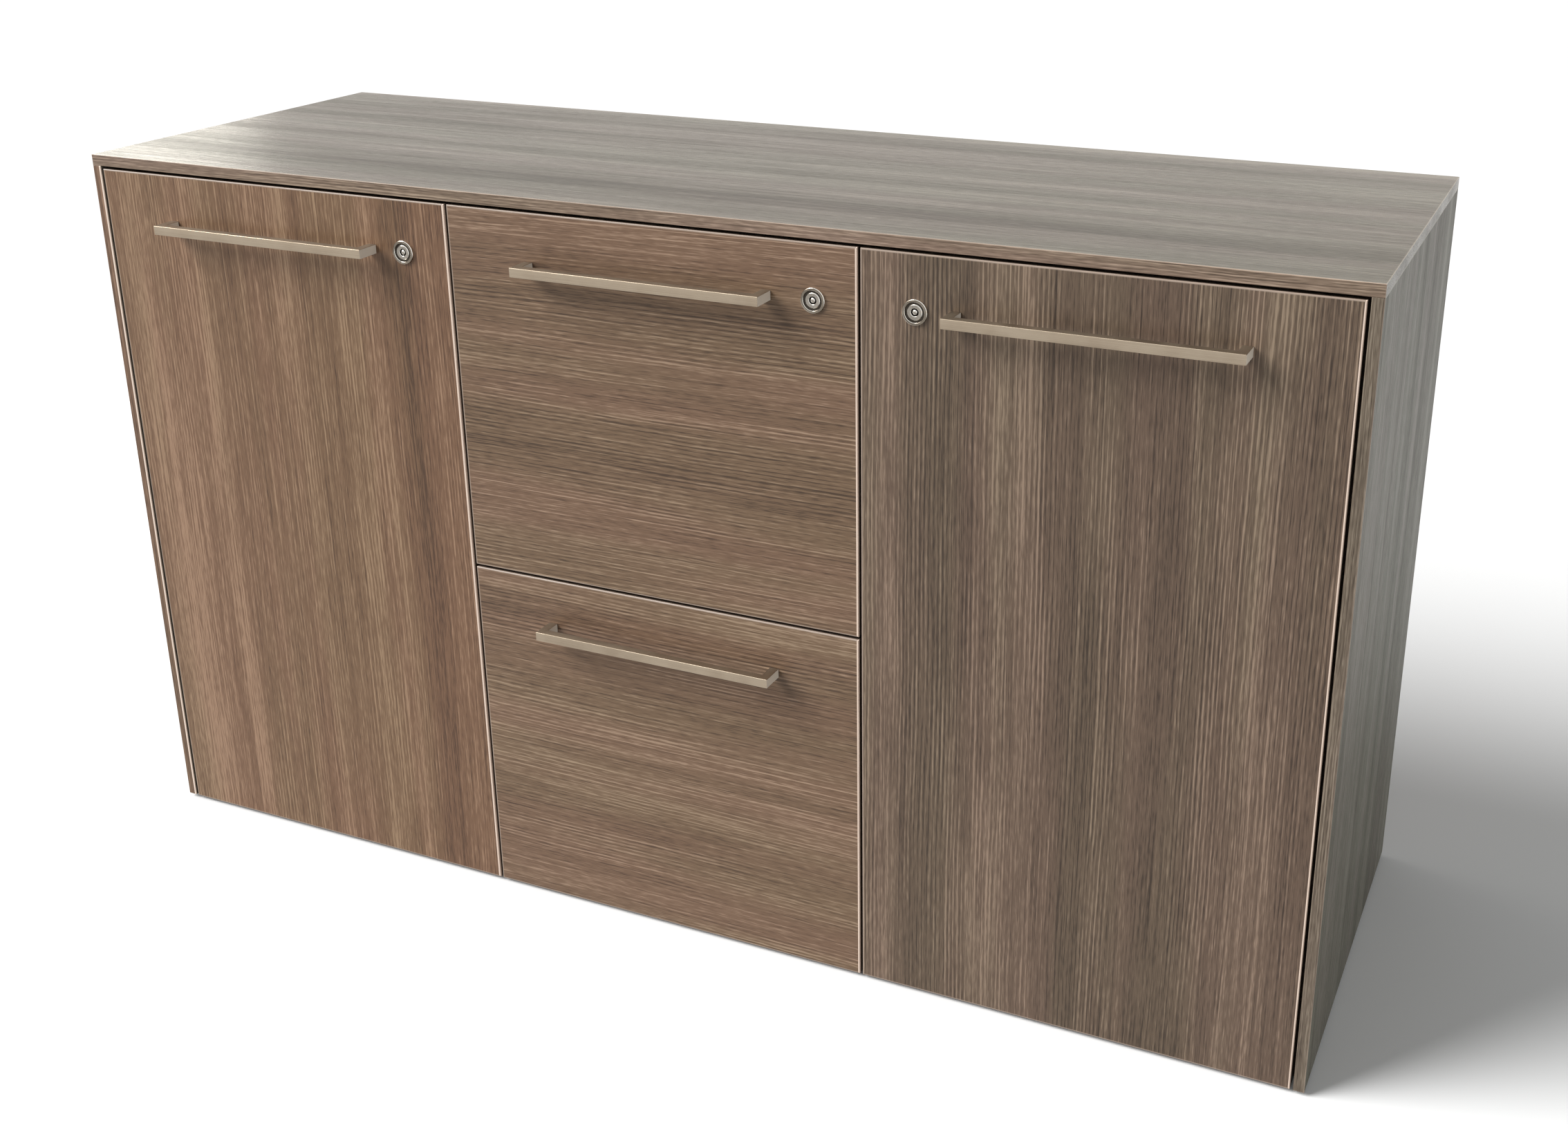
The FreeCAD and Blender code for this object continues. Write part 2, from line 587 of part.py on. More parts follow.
def build_shelves():
    """Build one adjustable shelf behind each door, on four pins."""
    pin_end = "pin_hole_spare - pin_hole_depth"
    pin = turned("shelf_pin", (
        ("0", pin_end), ("pin_diameter / 2", pin_end),
        ("pin_diameter / 2", "0"), ("pin_collar_diameter / 2", "0"),
        ("pin_collar_diameter / 2", "pin_collar_thickness"),
        ("pin_head_diameter / 2", "pin_collar_thickness"),
        ("pin_head_diameter / 2", "pin_head_length"), ("0", "pin_head_length")))
    leftwards = SIDEWAYS.multiply(OVER)
    shelves = []
    pins = []
    for bay in ("left", "right"):
        left, width = bays()[bay]
        shelf = box(f"{bay}_shelf", f"{width} - 2 * shelf_clearance",
                    f"{CASE_DEPTH} - shelf_setback - shelf_rear_gap", "board_thickness")
        shelves.append(place(shelf, f"{left} + shelf_clearance", f"{CASE_FRONT} + shelf_setback",
                             f"{FLOOR_TOP} + shelf_height + pin_head_diameter / 2 + pin_seat_gap"))
        for wall, turn in ((left, SIDEWAYS), (f"{left} + {width}", leftwards)):
            for column in (f"{CASE_FRONT} + pin_inset", f"{CASE_REAR} - pin_inset"):
                pins.append(copy_of(pin, wall, column, f"{FLOOR_TOP} + shelf_height", turn))
    keep(group("shelves", shelves), "shelves")
    keep(group("shelf_pins", pins), "shelf_pins")


def build_strikes():
    """Build the folded strikes that the turned-up lock cams stand behind."""
    strike = make_body("lock_strike")
    fold = "strike_drop - strike_thickness"
    pad(outline(draw(strike, "Fold"), (
        ("0", "0"), ("strike_thickness", "0"), ("strike_thickness", fold),
        ("strike_reach", fold), ("strike_reach", "strike_drop"), ("0", "strike_drop"))),
        "strike_width")
    strikes = [copy_of(strike, f"{lock} - strike_width / 2", f"{CASE_FRONT} + strike_gap",
                       f"{STRETCHER_UNDERSIDE} - strike_drop", SIDEWAYS)
               for lock in (f"-{DOOR_LOCK}", DRAWER_LOCK, DOOR_LOCK)]
    keep(group("lock_strikes", strikes), "lock_strikes")


def glide_places():
    """Name the four levelling glides and give their places."""
    across = f"({GABLE_INNER} - glide_inset)"
    front = f"{CASE_FRONT} + glide_setback"
    rear = f"{CASE_REAR} - glide_setback"
    return (("front_left_glide", f"-{across}", front), ("front_right_glide", across, front),
            ("rear_left_glide", f"-{across}", rear), ("rear_right_glide", across, rear))


def build_glides():
    """Build the screwed feet and the inserts that hold them."""
    insert = turned("glide_insert", (
        ("glide_stem_diameter / 2 + fit_clearance", "0"), ("insert_diameter / 2", "0"),
        ("insert_diameter / 2", "insert_length"),
        ("glide_stem_diameter / 2 + fit_clearance", "insert_length")))
    inserts = [copy_of(insert, across, rear, "glide_drop")
               for name, across, rear in glide_places()]
    keep(group("glide_inserts", inserts), "glide_inserts")
    rim = "glide_diameter / 2"
    disc_top = "glide_drop - glide_gap"
    stem = "glide_stem_diameter / 2"
    stem_top = "glide_drop + glide_stem_length"
    for name, across, rear in glide_places():
        glide = turned(name, (
            ("0", "0"), (f"{rim} - glide_arris", "0"), (rim, "glide_arris"),
            (f"{rim} - glide_arris", disc_top), (stem, disc_top),
            (stem, f"{stem_top} - glide_stem_chamfer"),
            (f"{stem} - glide_stem_chamfer", stem_top), ("0", stem_top)))
        keep(place(glide, across, rear), name)


# ---- fronts, handles and locks ----------------------------------------------------------
def build_front(name, width, height, left, low, bores, pilots, lock):
    """Build a leaf inside its edge band, with bores for handle and lock, and pilot holes."""
    leaf = make_body(name)
    pad(outline(draw(leaf, "Outline"),
                rectangle("band_thickness", "band_thickness", f"{width} - 2 * band_thickness",
                          f"{height} - 2 * band_thickness")), "front_thickness")
    line = f"{height} - hardware_drop"
    through = [shank_hole(f"{width} / 2 {sign} {HANDLE_LEG}", line, "handle_screw_diameter")
               for sign in "-+"]
    if lock:
        through.append(shank_hole(lock, line, "lock_body_diameter"))
    pocket(circles(draw(leaf, "HardwareBores", lift="front_thickness"), *through),
           "front_thickness")
    for depth, holes in (bores, pilots):
        if holes:
            pocket(circles(draw(leaf, "RearBores"), *holes), depth, upwards=True)
    place(leaf, left, FRONT_BACK, low, STANDING)

    band = make_body(f"{name}_band")
    rim = pad(outline(draw(band, "Outline"), rectangle("0", "0", width, height)),
              "front_thickness")
    dress("Chamfer", rim, "Z", "band_arris")
    inside = rectangle("band_thickness", "band_thickness", f"{width} - 2 * band_thickness",
                       f"{height} - 2 * band_thickness")
    pocket(outline(draw(band, "Inside", lift="front_thickness"), inside), "front_thickness")
    place(band, left, FRONT_BACK, low, STANDING)
    return leaf, band


def build_handle(name, middle, line):
    """Build a square bar pull with its legs flush at its ends."""
    handle = make_body(name)
    bar = "handle_bar"
    inner_right = f"handle_length - {bar}"
    inner_front = f"handle_projection - {bar}"
    plan = outline(draw(handle, "Plan"), (
        ("0", "0"), (bar, "0"), (bar, inner_front), (inner_right, inner_front),
        (inner_right, "0"), ("handle_length", "0"), ("handle_length", "handle_projection"),
        ("0", "handle_projection")))
    dress("Fillet", pad(plan, bar), "Y", "handle_arris")
    feet = draw(handle, "LegHoles", "XZ_Plane")
    circles(feet, *(shank_hole(across, f"{bar} / 2", "handle_screw_diameter")
                    for across in (f"{bar} / 2", f"handle_length - {bar} / 2")))
    pocket(feet, "handle_hole_depth")
    return place(handle, f"{middle} + handle_length / 2", FACE, f"{line} - {bar} / 2", ABOUT)


def handle_screws(screw, middle, line):
    """Place a handle's two screws, heads on the front's back."""
    return [copy_of(screw, f"{middle} {sign} {HANDLE_LEG}", FRONT_BACK, line, REARWARD)
            for sign in "-+"]


def build_lock_masters():
    """Build the lock's five pieces, each with the front's face at height 0."""
    bore = "(lock_plug_diameter / 2 + fit_clearance)"
    body = "lock_body_diameter / 2"
    ring = "lock_ring_diameter / 2"
    proud = "lock_ring_proud"
    tail = f"-{LOCK_TAIL}"
    housing = turned("lock_housing", (
        (bore, tail), (body, tail), (body, "0"), (ring, "0"),
        (ring, f"{proud} - lock_ring_arris"), (f"{ring} - lock_ring_arris", proud),
        ("lock_groove_diameter / 2", proud),
        ("lock_groove_diameter / 2 - lock_groove_depth / 2", f"{proud} - lock_groove_depth"),
        (bore, f"{proud} - lock_groove_depth")))

    nut = make_body("lock_nut")
    flats = "lock_nut_flats"
    corner = f"{flats} / sqrt(3)"
    pad(outline(draw(nut, "Hexagon"), (
        (corner, "0"), (f"{corner} / 2", f"{flats} / 2"), (f"-{corner} / 2", f"{flats} / 2"),
        (f"-{corner}", "0"), (f"-{corner} / 2", f"-{flats} / 2"),
        (f"{corner} / 2", f"-{flats} / 2"))), "lock_nut_thickness")
    pocket(circles(draw(nut, "Thread", lift="lock_nut_thickness"),
                   shank_hole("0", "0", "lock_body_diameter")), "lock_nut_thickness")

    post = "cam_post_diameter / 2"
    cam_face = f"-({LOCK_TAIL} + cam_gap)"
    cam_back = f"-({LOCK_TAIL} + cam_gap + cam_thickness)"
    plug = make_body("lock_plug")
    radius = "lock_plug_diameter / 2"
    plug_face = f"{proud} - lock_plug_sink"
    keyway_floor = f"{plug_face} - keyway_depth"
    revolve(outline(draw(plug, "Profile", "XZ_Plane"), (
        ("0", cam_back), (post, cam_back), (post, cam_face), (radius, cam_face),
        (radius, plug_face), ("keyway_diameter / 2", plug_face),
        ("keyway_diameter / 2", keyway_floor), ("keyway_post_diameter / 2", keyway_floor),
        ("keyway_post_diameter / 2", plug_face), ("0", plug_face))))

    cam = make_body("lock_cam")
    half = "cam_width / 2"
    end = f"{half} * cam_taper"
    pad(outline(draw(cam, "Plate", lift=cam_back), (
        (f"-{end}", f"-{end}"), ("0", f"-{half}"), (CAM_REACH, f"-{end}"), (CAM_REACH, end),
        ("0", half), (f"-{end}", end))), "cam_thickness")
    pocket(circles(draw(cam, "PostHole", lift=cam_face),
                   shank_hole("0", "0", "cam_post_diameter")), "cam_thickness")

    screw_end = f"{cam_back} - cam_screw_height"
    rim = "cam_screw_diameter / 2"
    screw = turned("cam_screw", (
        ("0", screw_end), (f"{rim} - cam_screw_chamfer", screw_end),
        (rim, f"{screw_end} + cam_screw_chamfer"), (rim, cam_back), ("0", cam_back)))
    return {"housing": housing, "nut": nut, "plug": plug, "cam": cam, "screw": screw}


def build_lock(masters, prefix, middle):
    """Place one lock, its cam to the left: housing and nut, and the barrel that turns."""
    turn = STANDING.multiply(ABOUT)
    fixed = [copy_of(masters["housing"], middle, FACE, LOCK_HEIGHT, turn),
             copy_of(masters["nut"], middle, f"{FRONT_BACK} + lock_nut_thickness",
                     LOCK_HEIGHT, turn)]
    turning = [copy_of(masters[piece], middle, FACE, LOCK_HEIGHT, turn)
               for piece in ("plug", "cam", "screw")]
    housing = group(f"{prefix}_lock_housing", fixed)
    barrel = group(f"{prefix}_lock_barrel", turning)
    return housing, barrel


# ---- concealed hinges -------------------------------------------------------------------
def hinge_heights():
    """List the hinges' heights above the door's lower edge."""
    return "hinge_drop", f"{DOOR_HEIGHT} - hinge_drop"


def plate_screw_heights():
    """List the plate screws' heights above the case's lower edge."""
    return [f"{height} {sign} plate_screw_spacing / 2"
            for height in hinge_heights() for sign in "-+"]


def build_cup():
    """Build the hinge cup: its mouth at height 0, its flange above, open upwards."""
    cup = make_body("hinge_cup")
    radius = "cup_diameter / 2"
    rim = f"({radius} + cup_rim)"
    revolve(outline(draw(cup, "Profile", "XZ_Plane"), (
        ("0", "-cup_depth"), (radius, "-cup_depth"), (radius, "0"), (rim, "0"),
        (rim, "cup_flange"), ("0", "cup_flange"))))
    pad(outline(draw(cup, "Wings"), rectangle(
        "cup_screw_offset - cup_wing_width / 2", "-cup_wing_length / 2", "cup_wing_width",
        "cup_wing_length")), "cup_flange")
    mouth = draw(cup, "Mouth", lift="cup_flange")
    pocket(circles(mouth, ("0", "0", "cup_diameter - 2 * cup_wall")),
           "cup_flange + cup_depth - cup_wall")
    holes = draw(cup, "ScrewHoles", lift="cup_flange")
    circles(holes, *(shank_hole("cup_screw_offset", f"{sign} cup_screw_spacing / 2",
                                "cup_screw_diameter") for sign in "-+"))
    pocket(holes, "cup_flange")
    return cup


def build_link(name, pivot, far, width):
    """Build a hinge link in plan: a strip between its rolled eye and its far pin's eye."""
    across = f"({far[0]} - {pivot[0]})"
    back = f"({far[1]} - ({pivot[1]}))"
    length = f"sqrt({across} ^ 2 + {back} ^ 2)"
    link = make_body(name)
    pad(outline(draw(link, "Strip"), strip_corners(across, back, length, "0",
                                                   "link_thickness / 2")), width)
    for eye_across, eye_back in (("0", "0"), (across, back)):
        pad(circles(draw(link, "Eye"), (eye_across, eye_back, "link_eye_diameter")), width)
    pocket(circles(draw(link, "PinHole", lift=width), shank_hole("0", "0", "link_pin_diameter")),
           width)
    return link


def strip_corners(across, back, length, start, half):
    """List a slanting strip's corners, from a share of its length to its end."""
    step = (f"{across} / {length} * {half}", f"{back} / {length} * {half}")
    first = (f"{across} * {start}", f"{back} * {start}")
    return ((f"{first[0]} - {step[1]}", f"{first[1]} + {step[0]}"),
            (f"{first[0]} + {step[1]}", f"{first[1]} - {step[0]}"),
            (f"{across} + {step[1]}", f"{back} - {step[0]}"),
            (f"{across} - {step[1]}", f"{back} + {step[0]}"))


def fork_link(link, pivot, far):
    """Cut the outer link's far end into a fork, so that the inner link passes through."""
    across = f"({far[0]} - {pivot[0]}) * fork_reach"
    back = f"({far[1]} - ({pivot[1]})) * fork_reach"
    length = f"sqrt(({across}) ^ 2 + ({back}) ^ 2)"
    slot = draw(link, "Fork", lift="link_width - link_ear")
    pocket(outline(slot, strip_corners(f"({across})", f"({back})", length, "link_bridge",
                                       "link_eye_diameter")), "link_width - 2 * link_ear")


def build_arm():
    """Build the hinge arm in plan: a folded channel with a nose that reaches into the cup."""
    arm = make_body("hinge_arm")
    outside = "(link_width + 2 * arm_gap + 2 * arm_cheek)"
    nose = "arm_nose"
    outer_pin = OUTER_PIN[0]
    inner_pin = INNER_PIN[0]
    tip = f"{INNER_PIN[1]} - {nose}"
    slope = f"{tip} + {nose} * arm_nose_slope"
    flat = f"{nose} * arm_nose_flat"
    web = f"({outer_pin} + arm_shoulder)"
    web_end = "(arm_web_start + arm_ramp)"
    rear_web = "(plate_thickness + arm_height)"
    pad(outline(draw(arm, "Cheeks"), (
        (f"{inner_pin} - {flat}", tip), (f"{inner_pin} + {flat}", tip),
        (f"{inner_pin} + {nose}", slope), (f"{inner_pin} + {nose}", "0"),
        (f"{outer_pin} + {nose}", "outer_pin_back - arm_brow"), (web, "arm_web_start"),
        (rear_web, web_end), (rear_web, "arm_length"), ("plate_thickness", "arm_length"),
        ("plate_thickness", "arm_web_start + arm_heel"),
        (f"{inner_pin} - {nose}", "outer_pin_back + arm_brow"),
        (f"{inner_pin} - {nose}", slope))), outside)
    channel = draw(arm, "Channel", lift=f"{outside} - arm_cheek")
    outmost = f"{web} + cut_spare"
    rear = "arm_length + cut_spare"
    pocket(outline(channel, (
        ("-board_thickness", f"{tip} - cut_spare"), (outmost, f"{tip} - cut_spare"),
        (outmost, "arm_web_start"), (f"{web} - arm_cheek", "arm_web_start + cut_spare"),
        (f"{rear_web} - arm_cheek", f"{web_end} + cut_spare"),
        (f"{rear_web} - arm_cheek", rear), ("-board_thickness", rear))),
        "link_width + 2 * arm_gap")
    for across, back in (OUTER_PIN, INNER_PIN):
        pad(circles(draw(arm, "Pin"), (across, back, "link_pin_diameter")), outside)
    return arm


def build_plate():
    """Build the mounting plate against the gable: plate, wings and the rib inside the arm."""
    plate = make_body("hinge_plate")
    rib = "(link_width + 2 * arm_gap - 2 * plate_rib_gap)"
    start = "(-plate_length / 2)"
    pad(outline(draw(plate, "Plate"), rectangle(
        start, f"-{rib} / 2 - plate_rim", "plate_length", f"{rib} + 2 * plate_rim")),
        "plate_thickness")
    pad(outline(draw(plate, "Wings"), rectangle("-plate_wing / 2", "-plate_height / 2",
                                                "plate_wing", "plate_height")),
        "plate_thickness")
    pad(outline(draw(plate, "Rib"), rectangle(start, f"-{rib} / 2", "plate_length", rib)),
        "plate_thickness + arm_height - arm_cheek - plate_rib_gap")
    holes = draw(plate, "ScrewHoles", lift="plate_thickness")
    circles(holes, *(shank_hole("0", f"{sign} plate_screw_spacing / 2", "plate_screw_diameter")
                     for sign in "-+"))
    pocket(holes, "plate_thickness")
    return plate


def build_hinges():
    """Build both hinges of the left door and mirror them for the right door."""
    door_low = "glide_drop"
    cup = build_cup()
    arm = build_arm()
    plate = build_plate()
    plate_screw = make_screw("plate_screw", "plate_screw_diameter",
                             "plate_thickness + plate_screw_length",
                             "screw_head_diameter", "screw_head_height")
    pivots = {"outer": (OUTER_PIN, OUTER_END, "link_width"),
              "inner": (INNER_PIN, INNER_END, "inner_link_width")}
    wall = f"-{GABLE_INNER}"
    plan_low = "(link_width / 2 + arm_gap + arm_cheek)"
    cups = [copy_of(cup, f"{wall} + cup_beyond_gable", FRONT_BACK,
                    f"{door_low} + {height}", REARWARD) for height in hinge_heights()]
    arms = [copy_of(arm, wall, FRONT_BACK, f"{door_low} + {height} - {plan_low}")
            for height in hinge_heights()]
    plate_line = f"{CASE_FRONT} + plate_setback"
    plates = [copy_of(plate, wall, plate_line, f"{door_low} + {height}", SIDEWAYS)
              for height in hinge_heights()]
    screws = [copy_of(plate_screw, f"{wall} + plate_thickness", plate_line,
                      f"{door_low} + {height}", SIDEWAYS) for height in plate_screw_heights()]
    left = {"hinge_cups": group("left_door_hinge_cups", cups)}
    for kind, (pivot, far, width) in pivots.items():
        link = build_link(f"{kind}_link", pivot, far, width)
        if kind == "outer":
            fork_link(link, pivot, far)
        links = [copy_of(link, f"{wall} + {pivot[0]}", f"{FRONT_BACK} + {pivot[1]}",
                         f"{door_low} + {height} - {width} / 2")
                 for height in hinge_heights()]
        left[f"{kind}_links"] = group(f"left_door_{kind}_links", links)
    for piece, members in (("hinge_arms", arms), ("hinge_plates", plates + screws)):
        half = group(f"left_{piece}", members)
        keep(group(piece, [half, mirrored(half, f"right_{piece}")]), piece)
    return left


def build_doors(lock_masters, handle_screw):
    """Build the left door with all that moves on it, and mirror it for the right door."""
    cup_screw = make_screw("cup_screw", "cup_screw_diameter", "cup_flange + cup_screw_length",
                           "cup_screw_head", "cup_screw_head_height")
    left_edge = f"-{END_INNER} + reveal"
    low = "glide_drop"
    cup_holes = [(CUP_SETBACK, height, "cup_diameter + 2 * cup_fit")
                 for height in hinge_heights()]
    screw_spots = [(f"{CUP_SETBACK} + cup_screw_offset", f"{height} {sign} cup_screw_spacing / 2")
                   for height in hinge_heights() for sign in "-+"]
    pilots = [shank_hole(across, up, "cup_screw_diameter") for across, up in screw_spots]
    leaf, band = build_front("left_door_leaf", FRONT_WIDTH, DOOR_HEIGHT, left_edge, low,
                             ("cup_depth + cup_bore_spare", cup_holes),
                             ("cup_screw_length", pilots), f"{FRONT_WIDTH} - {DOOR_BACKSET}")
    middle = f"{left_edge} + {FRONT_WIDTH} / 2"
    handle = build_handle("left_door_handle", middle, LOCK_HEIGHT)
    screws = handle_screws(handle_screw, middle, LOCK_HEIGHT)
    screws += [copy_of(cup_screw, f"{left_edge} + {across}", f"{FRONT_BACK} + cup_flange",
                       f"{low} + {up}", REARWARD) for across, up in screw_spots]
    housing, barrel = build_lock(lock_masters, "left_door", f"-{DOOR_LOCK}")
    pieces = {"leaf": leaf, "edge_band": band, "handle": handle,
              "screws": group("left_door_screws", screws), "lock_housing": housing,
              "lock_barrel": barrel}
    pieces.update(build_hinges())
    for name, piece in pieces.items():
        keep(piece, f"left_door_{name}")
        keep(mirrored(piece, f"right_door_{name}"), f"right_door_{name}")


# ---- drawers ----------------------------------------------------------------------------
def grooved_board(name, length, groove_face):
    """Make a drawer box board, lying flat, with the bottom's groove in one face."""
    board = make_body(name)
    pad(outline(draw(board, "Outline"), rectangle("0", "0", length, BOX_HEIGHT)),
        "box_thickness")
    upwards = groove_face == "lower"
    groove = draw(board, "Groove", lift="0" if upwards else "box_thickness")
    pocket(outline(groove, rectangle("0", "box_bottom_rise - groove_clearance", length,
                                     "box_bottom_thickness + 2 * groove_clearance")),
           "groove_depth", upwards)
    return board


def box_screw_spots():
    """List the screws between box and front, from the box's lower left inside corner."""
    return [(across, up) for across in ("box_screw_inset", f"{BOX_INNER_WIDTH} - box_screw_inset")
            for up in ("box_screw_rise", f"{BOX_HEIGHT} - box_screw_rise")]


def build_slide(prefix, axis):
    """Build a drawer's pair of telescopic slides: cabinet, middle and drawer members."""
    start = f"{CASE_FRONT} + slide_setback"

    def pair(master):
        return [copy_of(master, f"-{PARTITION_INNER}", start, axis),
                copy_of(master, PARTITION_INNER, start, axis, OVER)]

    def channel(name, height, web, flange_end):
        """Draw a channel's section: web at one side, flanges towards the other."""
        body = make_body(f"{prefix}_{name}")
        half = f"{height} / 2"
        towards = "+" if name != "drawer_channel" else "-"
        inner = f"{web} {towards} slide_sheet"
        pad(outline(draw(body, "Section", "XZ_Plane"), (
            (web, f"-{half}"), (flange_end, f"-{half}"), (flange_end, f"slide_sheet - {half}"),
            (inner, f"slide_sheet - {half}"), (inner, f"{half} - slide_sheet"),
            (flange_end, f"{half} - slide_sheet"), (flange_end, half), (web, half))),
            SLIDE_LENGTH, backwards=True)
        return body

    cabinet = channel("cabinet_channel", "cabinet_channel_height", "0", "cabinet_channel_flange")
    middle = channel("middle_channel", "middle_channel_height", "middle_channel_offset",
                     "middle_channel_offset + middle_channel_flange")
    drawer = channel("drawer_channel", "drawer_channel_height", "slide_thickness",
                     "slide_thickness - drawer_channel_flange")
    moving = pair(middle)
    half_length = f"{SLIDE_LENGTH} / 2"
    races = (("outer", "middle_channel_height", "cabinet_channel_height - 2 * slide_sheet",
              "middle_channel_offset + slide_sheet", f"{half_length} + cage_margin"),
             ("inner", "drawer_channel_height", "middle_channel_height - 2 * slide_sheet",
              "slide_thickness - drawer_channel_flange", "cage_margin"))
    for race, inside, outside, near, first in races:
        for side in (1, -1):
            cage = make_body(f"{prefix}_{race}_cage")
            low = f"({inside}) / 2 + cage_gap"
            high = f"({outside}) / 2 - cage_gap"
            far = f"{near} + cage_width"
            corners = [(near, f"{side} * ({low})"), (far, f"{side} * ({low})"),
                       (far, f"{side} * ({high})"), (near, f"{side} * ({high})")]
            pad(outline(draw(cage, "Section", "XZ_Plane", f"-({first})"), corners),
                f"{half_length} - 2 * cage_margin", backwards=True)
            moving += pair(cage)
    return pair(cabinet), group(f"{prefix}_slide_middles", moving), group(
        f"{prefix}_drawer_channels", pair(drawer))


def build_drawer(prefix, low, handle_screw, lock_masters=None):
    """Build one drawer: front, handle, box, file rails, slides and, above, its lock."""
    left_edge = f"-{FRONT_WIDTH} / 2"
    line = f"({low} + {DRAWER_HEIGHT} - hardware_drop)"
    box_low = f"({low} + box_lift)"
    inner_left = f"(box_thickness - {BOX_WIDTH} / 2)"
    pilots = [shank_hole(f"{across} + {inner_left} - ({left_edge})", f"{up} + box_lift",
                         "box_screw_diameter") for across, up in box_screw_spots()]
    lock = f"{FRONT_WIDTH} - {DRAWER_BACKSET}" if lock_masters else None
    front, band = build_front(f"{prefix}_drawer_front", FRONT_WIDTH, DRAWER_HEIGHT, left_edge,
                              low, ("0", ()), ("box_screw_bite", pilots), lock)
    keep(front, f"{prefix}_drawer_front")
    keep(band, f"{prefix}_drawer_edge_band")
    keep(build_handle(f"{prefix}_drawer_handle", "0", line), f"{prefix}_drawer_handle")

    side = grooved_board(f"{prefix}_box_side", BOX_DEPTH, "upper")
    place(side, f"-{BOX_WIDTH} / 2", FRONT_BACK, box_low, SIDEWAYS)
    sub_front = grooved_board(f"{prefix}_box_front", BOX_INNER_WIDTH, "lower")
    screw_holes = draw(sub_front, "ScrewHoles", lift="box_thickness")
    pocket(circles(screw_holes, *(shank_hole(across, up, "box_screw_diameter")
                                  for across, up in box_screw_spots())), "box_thickness")
    place(sub_front, inner_left, f"{FRONT_BACK} + box_thickness", box_low, STANDING)
    rear = grooved_board(f"{prefix}_box_rear", BOX_INNER_WIDTH, "upper")
    place(rear, inner_left, f"{FRONT_BACK} + {BOX_DEPTH}", box_low, STANDING)
    keep(group(f"{prefix}_drawer_walls",
               [side, mirrored(side, f"{prefix}_box_right_side"), sub_front, rear]),
         f"{prefix}_drawer_walls")

    inset = "(box_thickness - groove_depth + groove_clearance)"
    bottom = box(f"{prefix}_drawer_bottom", f"{BOX_WIDTH} - 2 * {inset}",
                 f"{BOX_DEPTH} - 2 * {inset}", "box_bottom_thickness")
    keep(place(bottom, f"{inset} - {BOX_WIDTH} / 2", f"{FRONT_BACK} + {inset}",
               f"{box_low} + box_bottom_rise"), f"{prefix}_drawer_bottom")

    box_screw = make_screw(f"{prefix}_box_screw", "box_screw_diameter",
                           "box_thickness + box_screw_bite", "screw_head_diameter",
                           "screw_head_height")
    screws = handle_screws(handle_screw, "0", line)
    screws += [copy_of(box_screw, f"{inner_left} + {across}", f"{FRONT_BACK} + box_thickness",
                       f"{box_low} + {up}", REARWARD) for across, up in box_screw_spots()]
    keep(group(f"{prefix}_drawer_screws", screws), f"{prefix}_drawer_screws")

    rail = make_body(f"{prefix}_file_rail")
    span = f"({BOX_DEPTH} - 2 * box_thickness)"
    top = "rail_height + rail_hook"
    pad(outline(draw(rail, "Profile"), (
        ("0", "0"), (span, "0"), (span, "rail_height"), (f"{span} + box_thickness", "rail_height"),
        (f"{span} + box_thickness", top), ("-box_thickness", top),
        ("-box_thickness", "rail_height"), ("0", "rail_height"))), "rail_thickness")
    rails = [copy_of(rail, f"{sign} {RAIL_SPACING} / 2 - rail_thickness / 2",
                     f"{FRONT_BACK} + box_thickness", f"{box_low} + {BOX_HEIGHT} - rail_height",
                     SIDEWAYS) for sign in "-+"]
    keep(group(f"{prefix}_drawer_file_rails", rails), f"{prefix}_drawer_file_rails")

    cabinet, middles, channels = build_slide(prefix, f"{box_low} + slide_rise")
    keep(middles, f"{prefix}_slide_middles")
    keep(channels, f"{prefix}_drawer_channels")
    if lock_masters:
        housing, barrel = build_lock(lock_masters, "drawer", DRAWER_LOCK)
        keep(housing, "upper_drawer_lock_housing")
        keep(barrel, "upper_drawer_lock_barrel")
    return cabinet


# ---- assembly, checks and export --------------------------------------------------------
def build_all():
    """Build the whole credenza."""
    build_shell()
    build_case()
    build_shelves()
    build_strikes()
    build_glides()
    lock_masters = build_lock_masters()
    handle_screw = make_screw("handle_screw", "handle_screw_diameter",
                              "front_thickness + handle_hole_depth - handle_hole_spare",
                              "screw_head_diameter", "screw_head_height")
    build_doors(lock_masters, handle_screw)
    channels = build_drawer("lower", "glide_drop", handle_screw)
    channels += build_drawer("upper", f"(glide_drop + {DRAWER_HEIGHT} + reveal)", handle_screw,
                             lock_masters)
    keep(group("cabinet_channels", channels), "cabinet_channels")


def check_document():
    """Stop on any failed object, any cut that cuts nothing and any bad piece."""
    faults = []
    for item in document.Objects:
        if {"Invalid", "Error"} & set(item.State):
            faults.append(f"{item.Name} ({item.Label}) is {item.State}")
        if item.TypeId == "PartDesign::Pocket" and item.BaseFeature is not None:
            if item.Shape.Volume >= item.BaseFeature.Shape.Volume - NEAR:
                faults.append(f"{item.Name} of {item.getParentGeoFeatureGroup().Label} cuts nothing")
    for node in nodes:
        if node.Shape.isNull() or not node.Shape.isValid() or not node.Shape.Solids:
            faults.append(f"{node.Label} has a bad shape")
    if faults:
        raise ValueError("; ".join(faults))


def export_nodes():
    """Write every piece to its own STEP file, named after the piece."""
    os.makedirs(OUTPUT_FOLDER, exist_ok=True)
    for node in nodes:
        node.Shape.exportStep(os.path.join(OUTPUT_FOLDER, f"{node.Label}.step"))
    print(f"{len(nodes)} pieces, {sum(len(node.Shape.Solids) for node in nodes)} solids")


make_sheet()
build_all()
document.recompute()
check_document()
export_nodes()
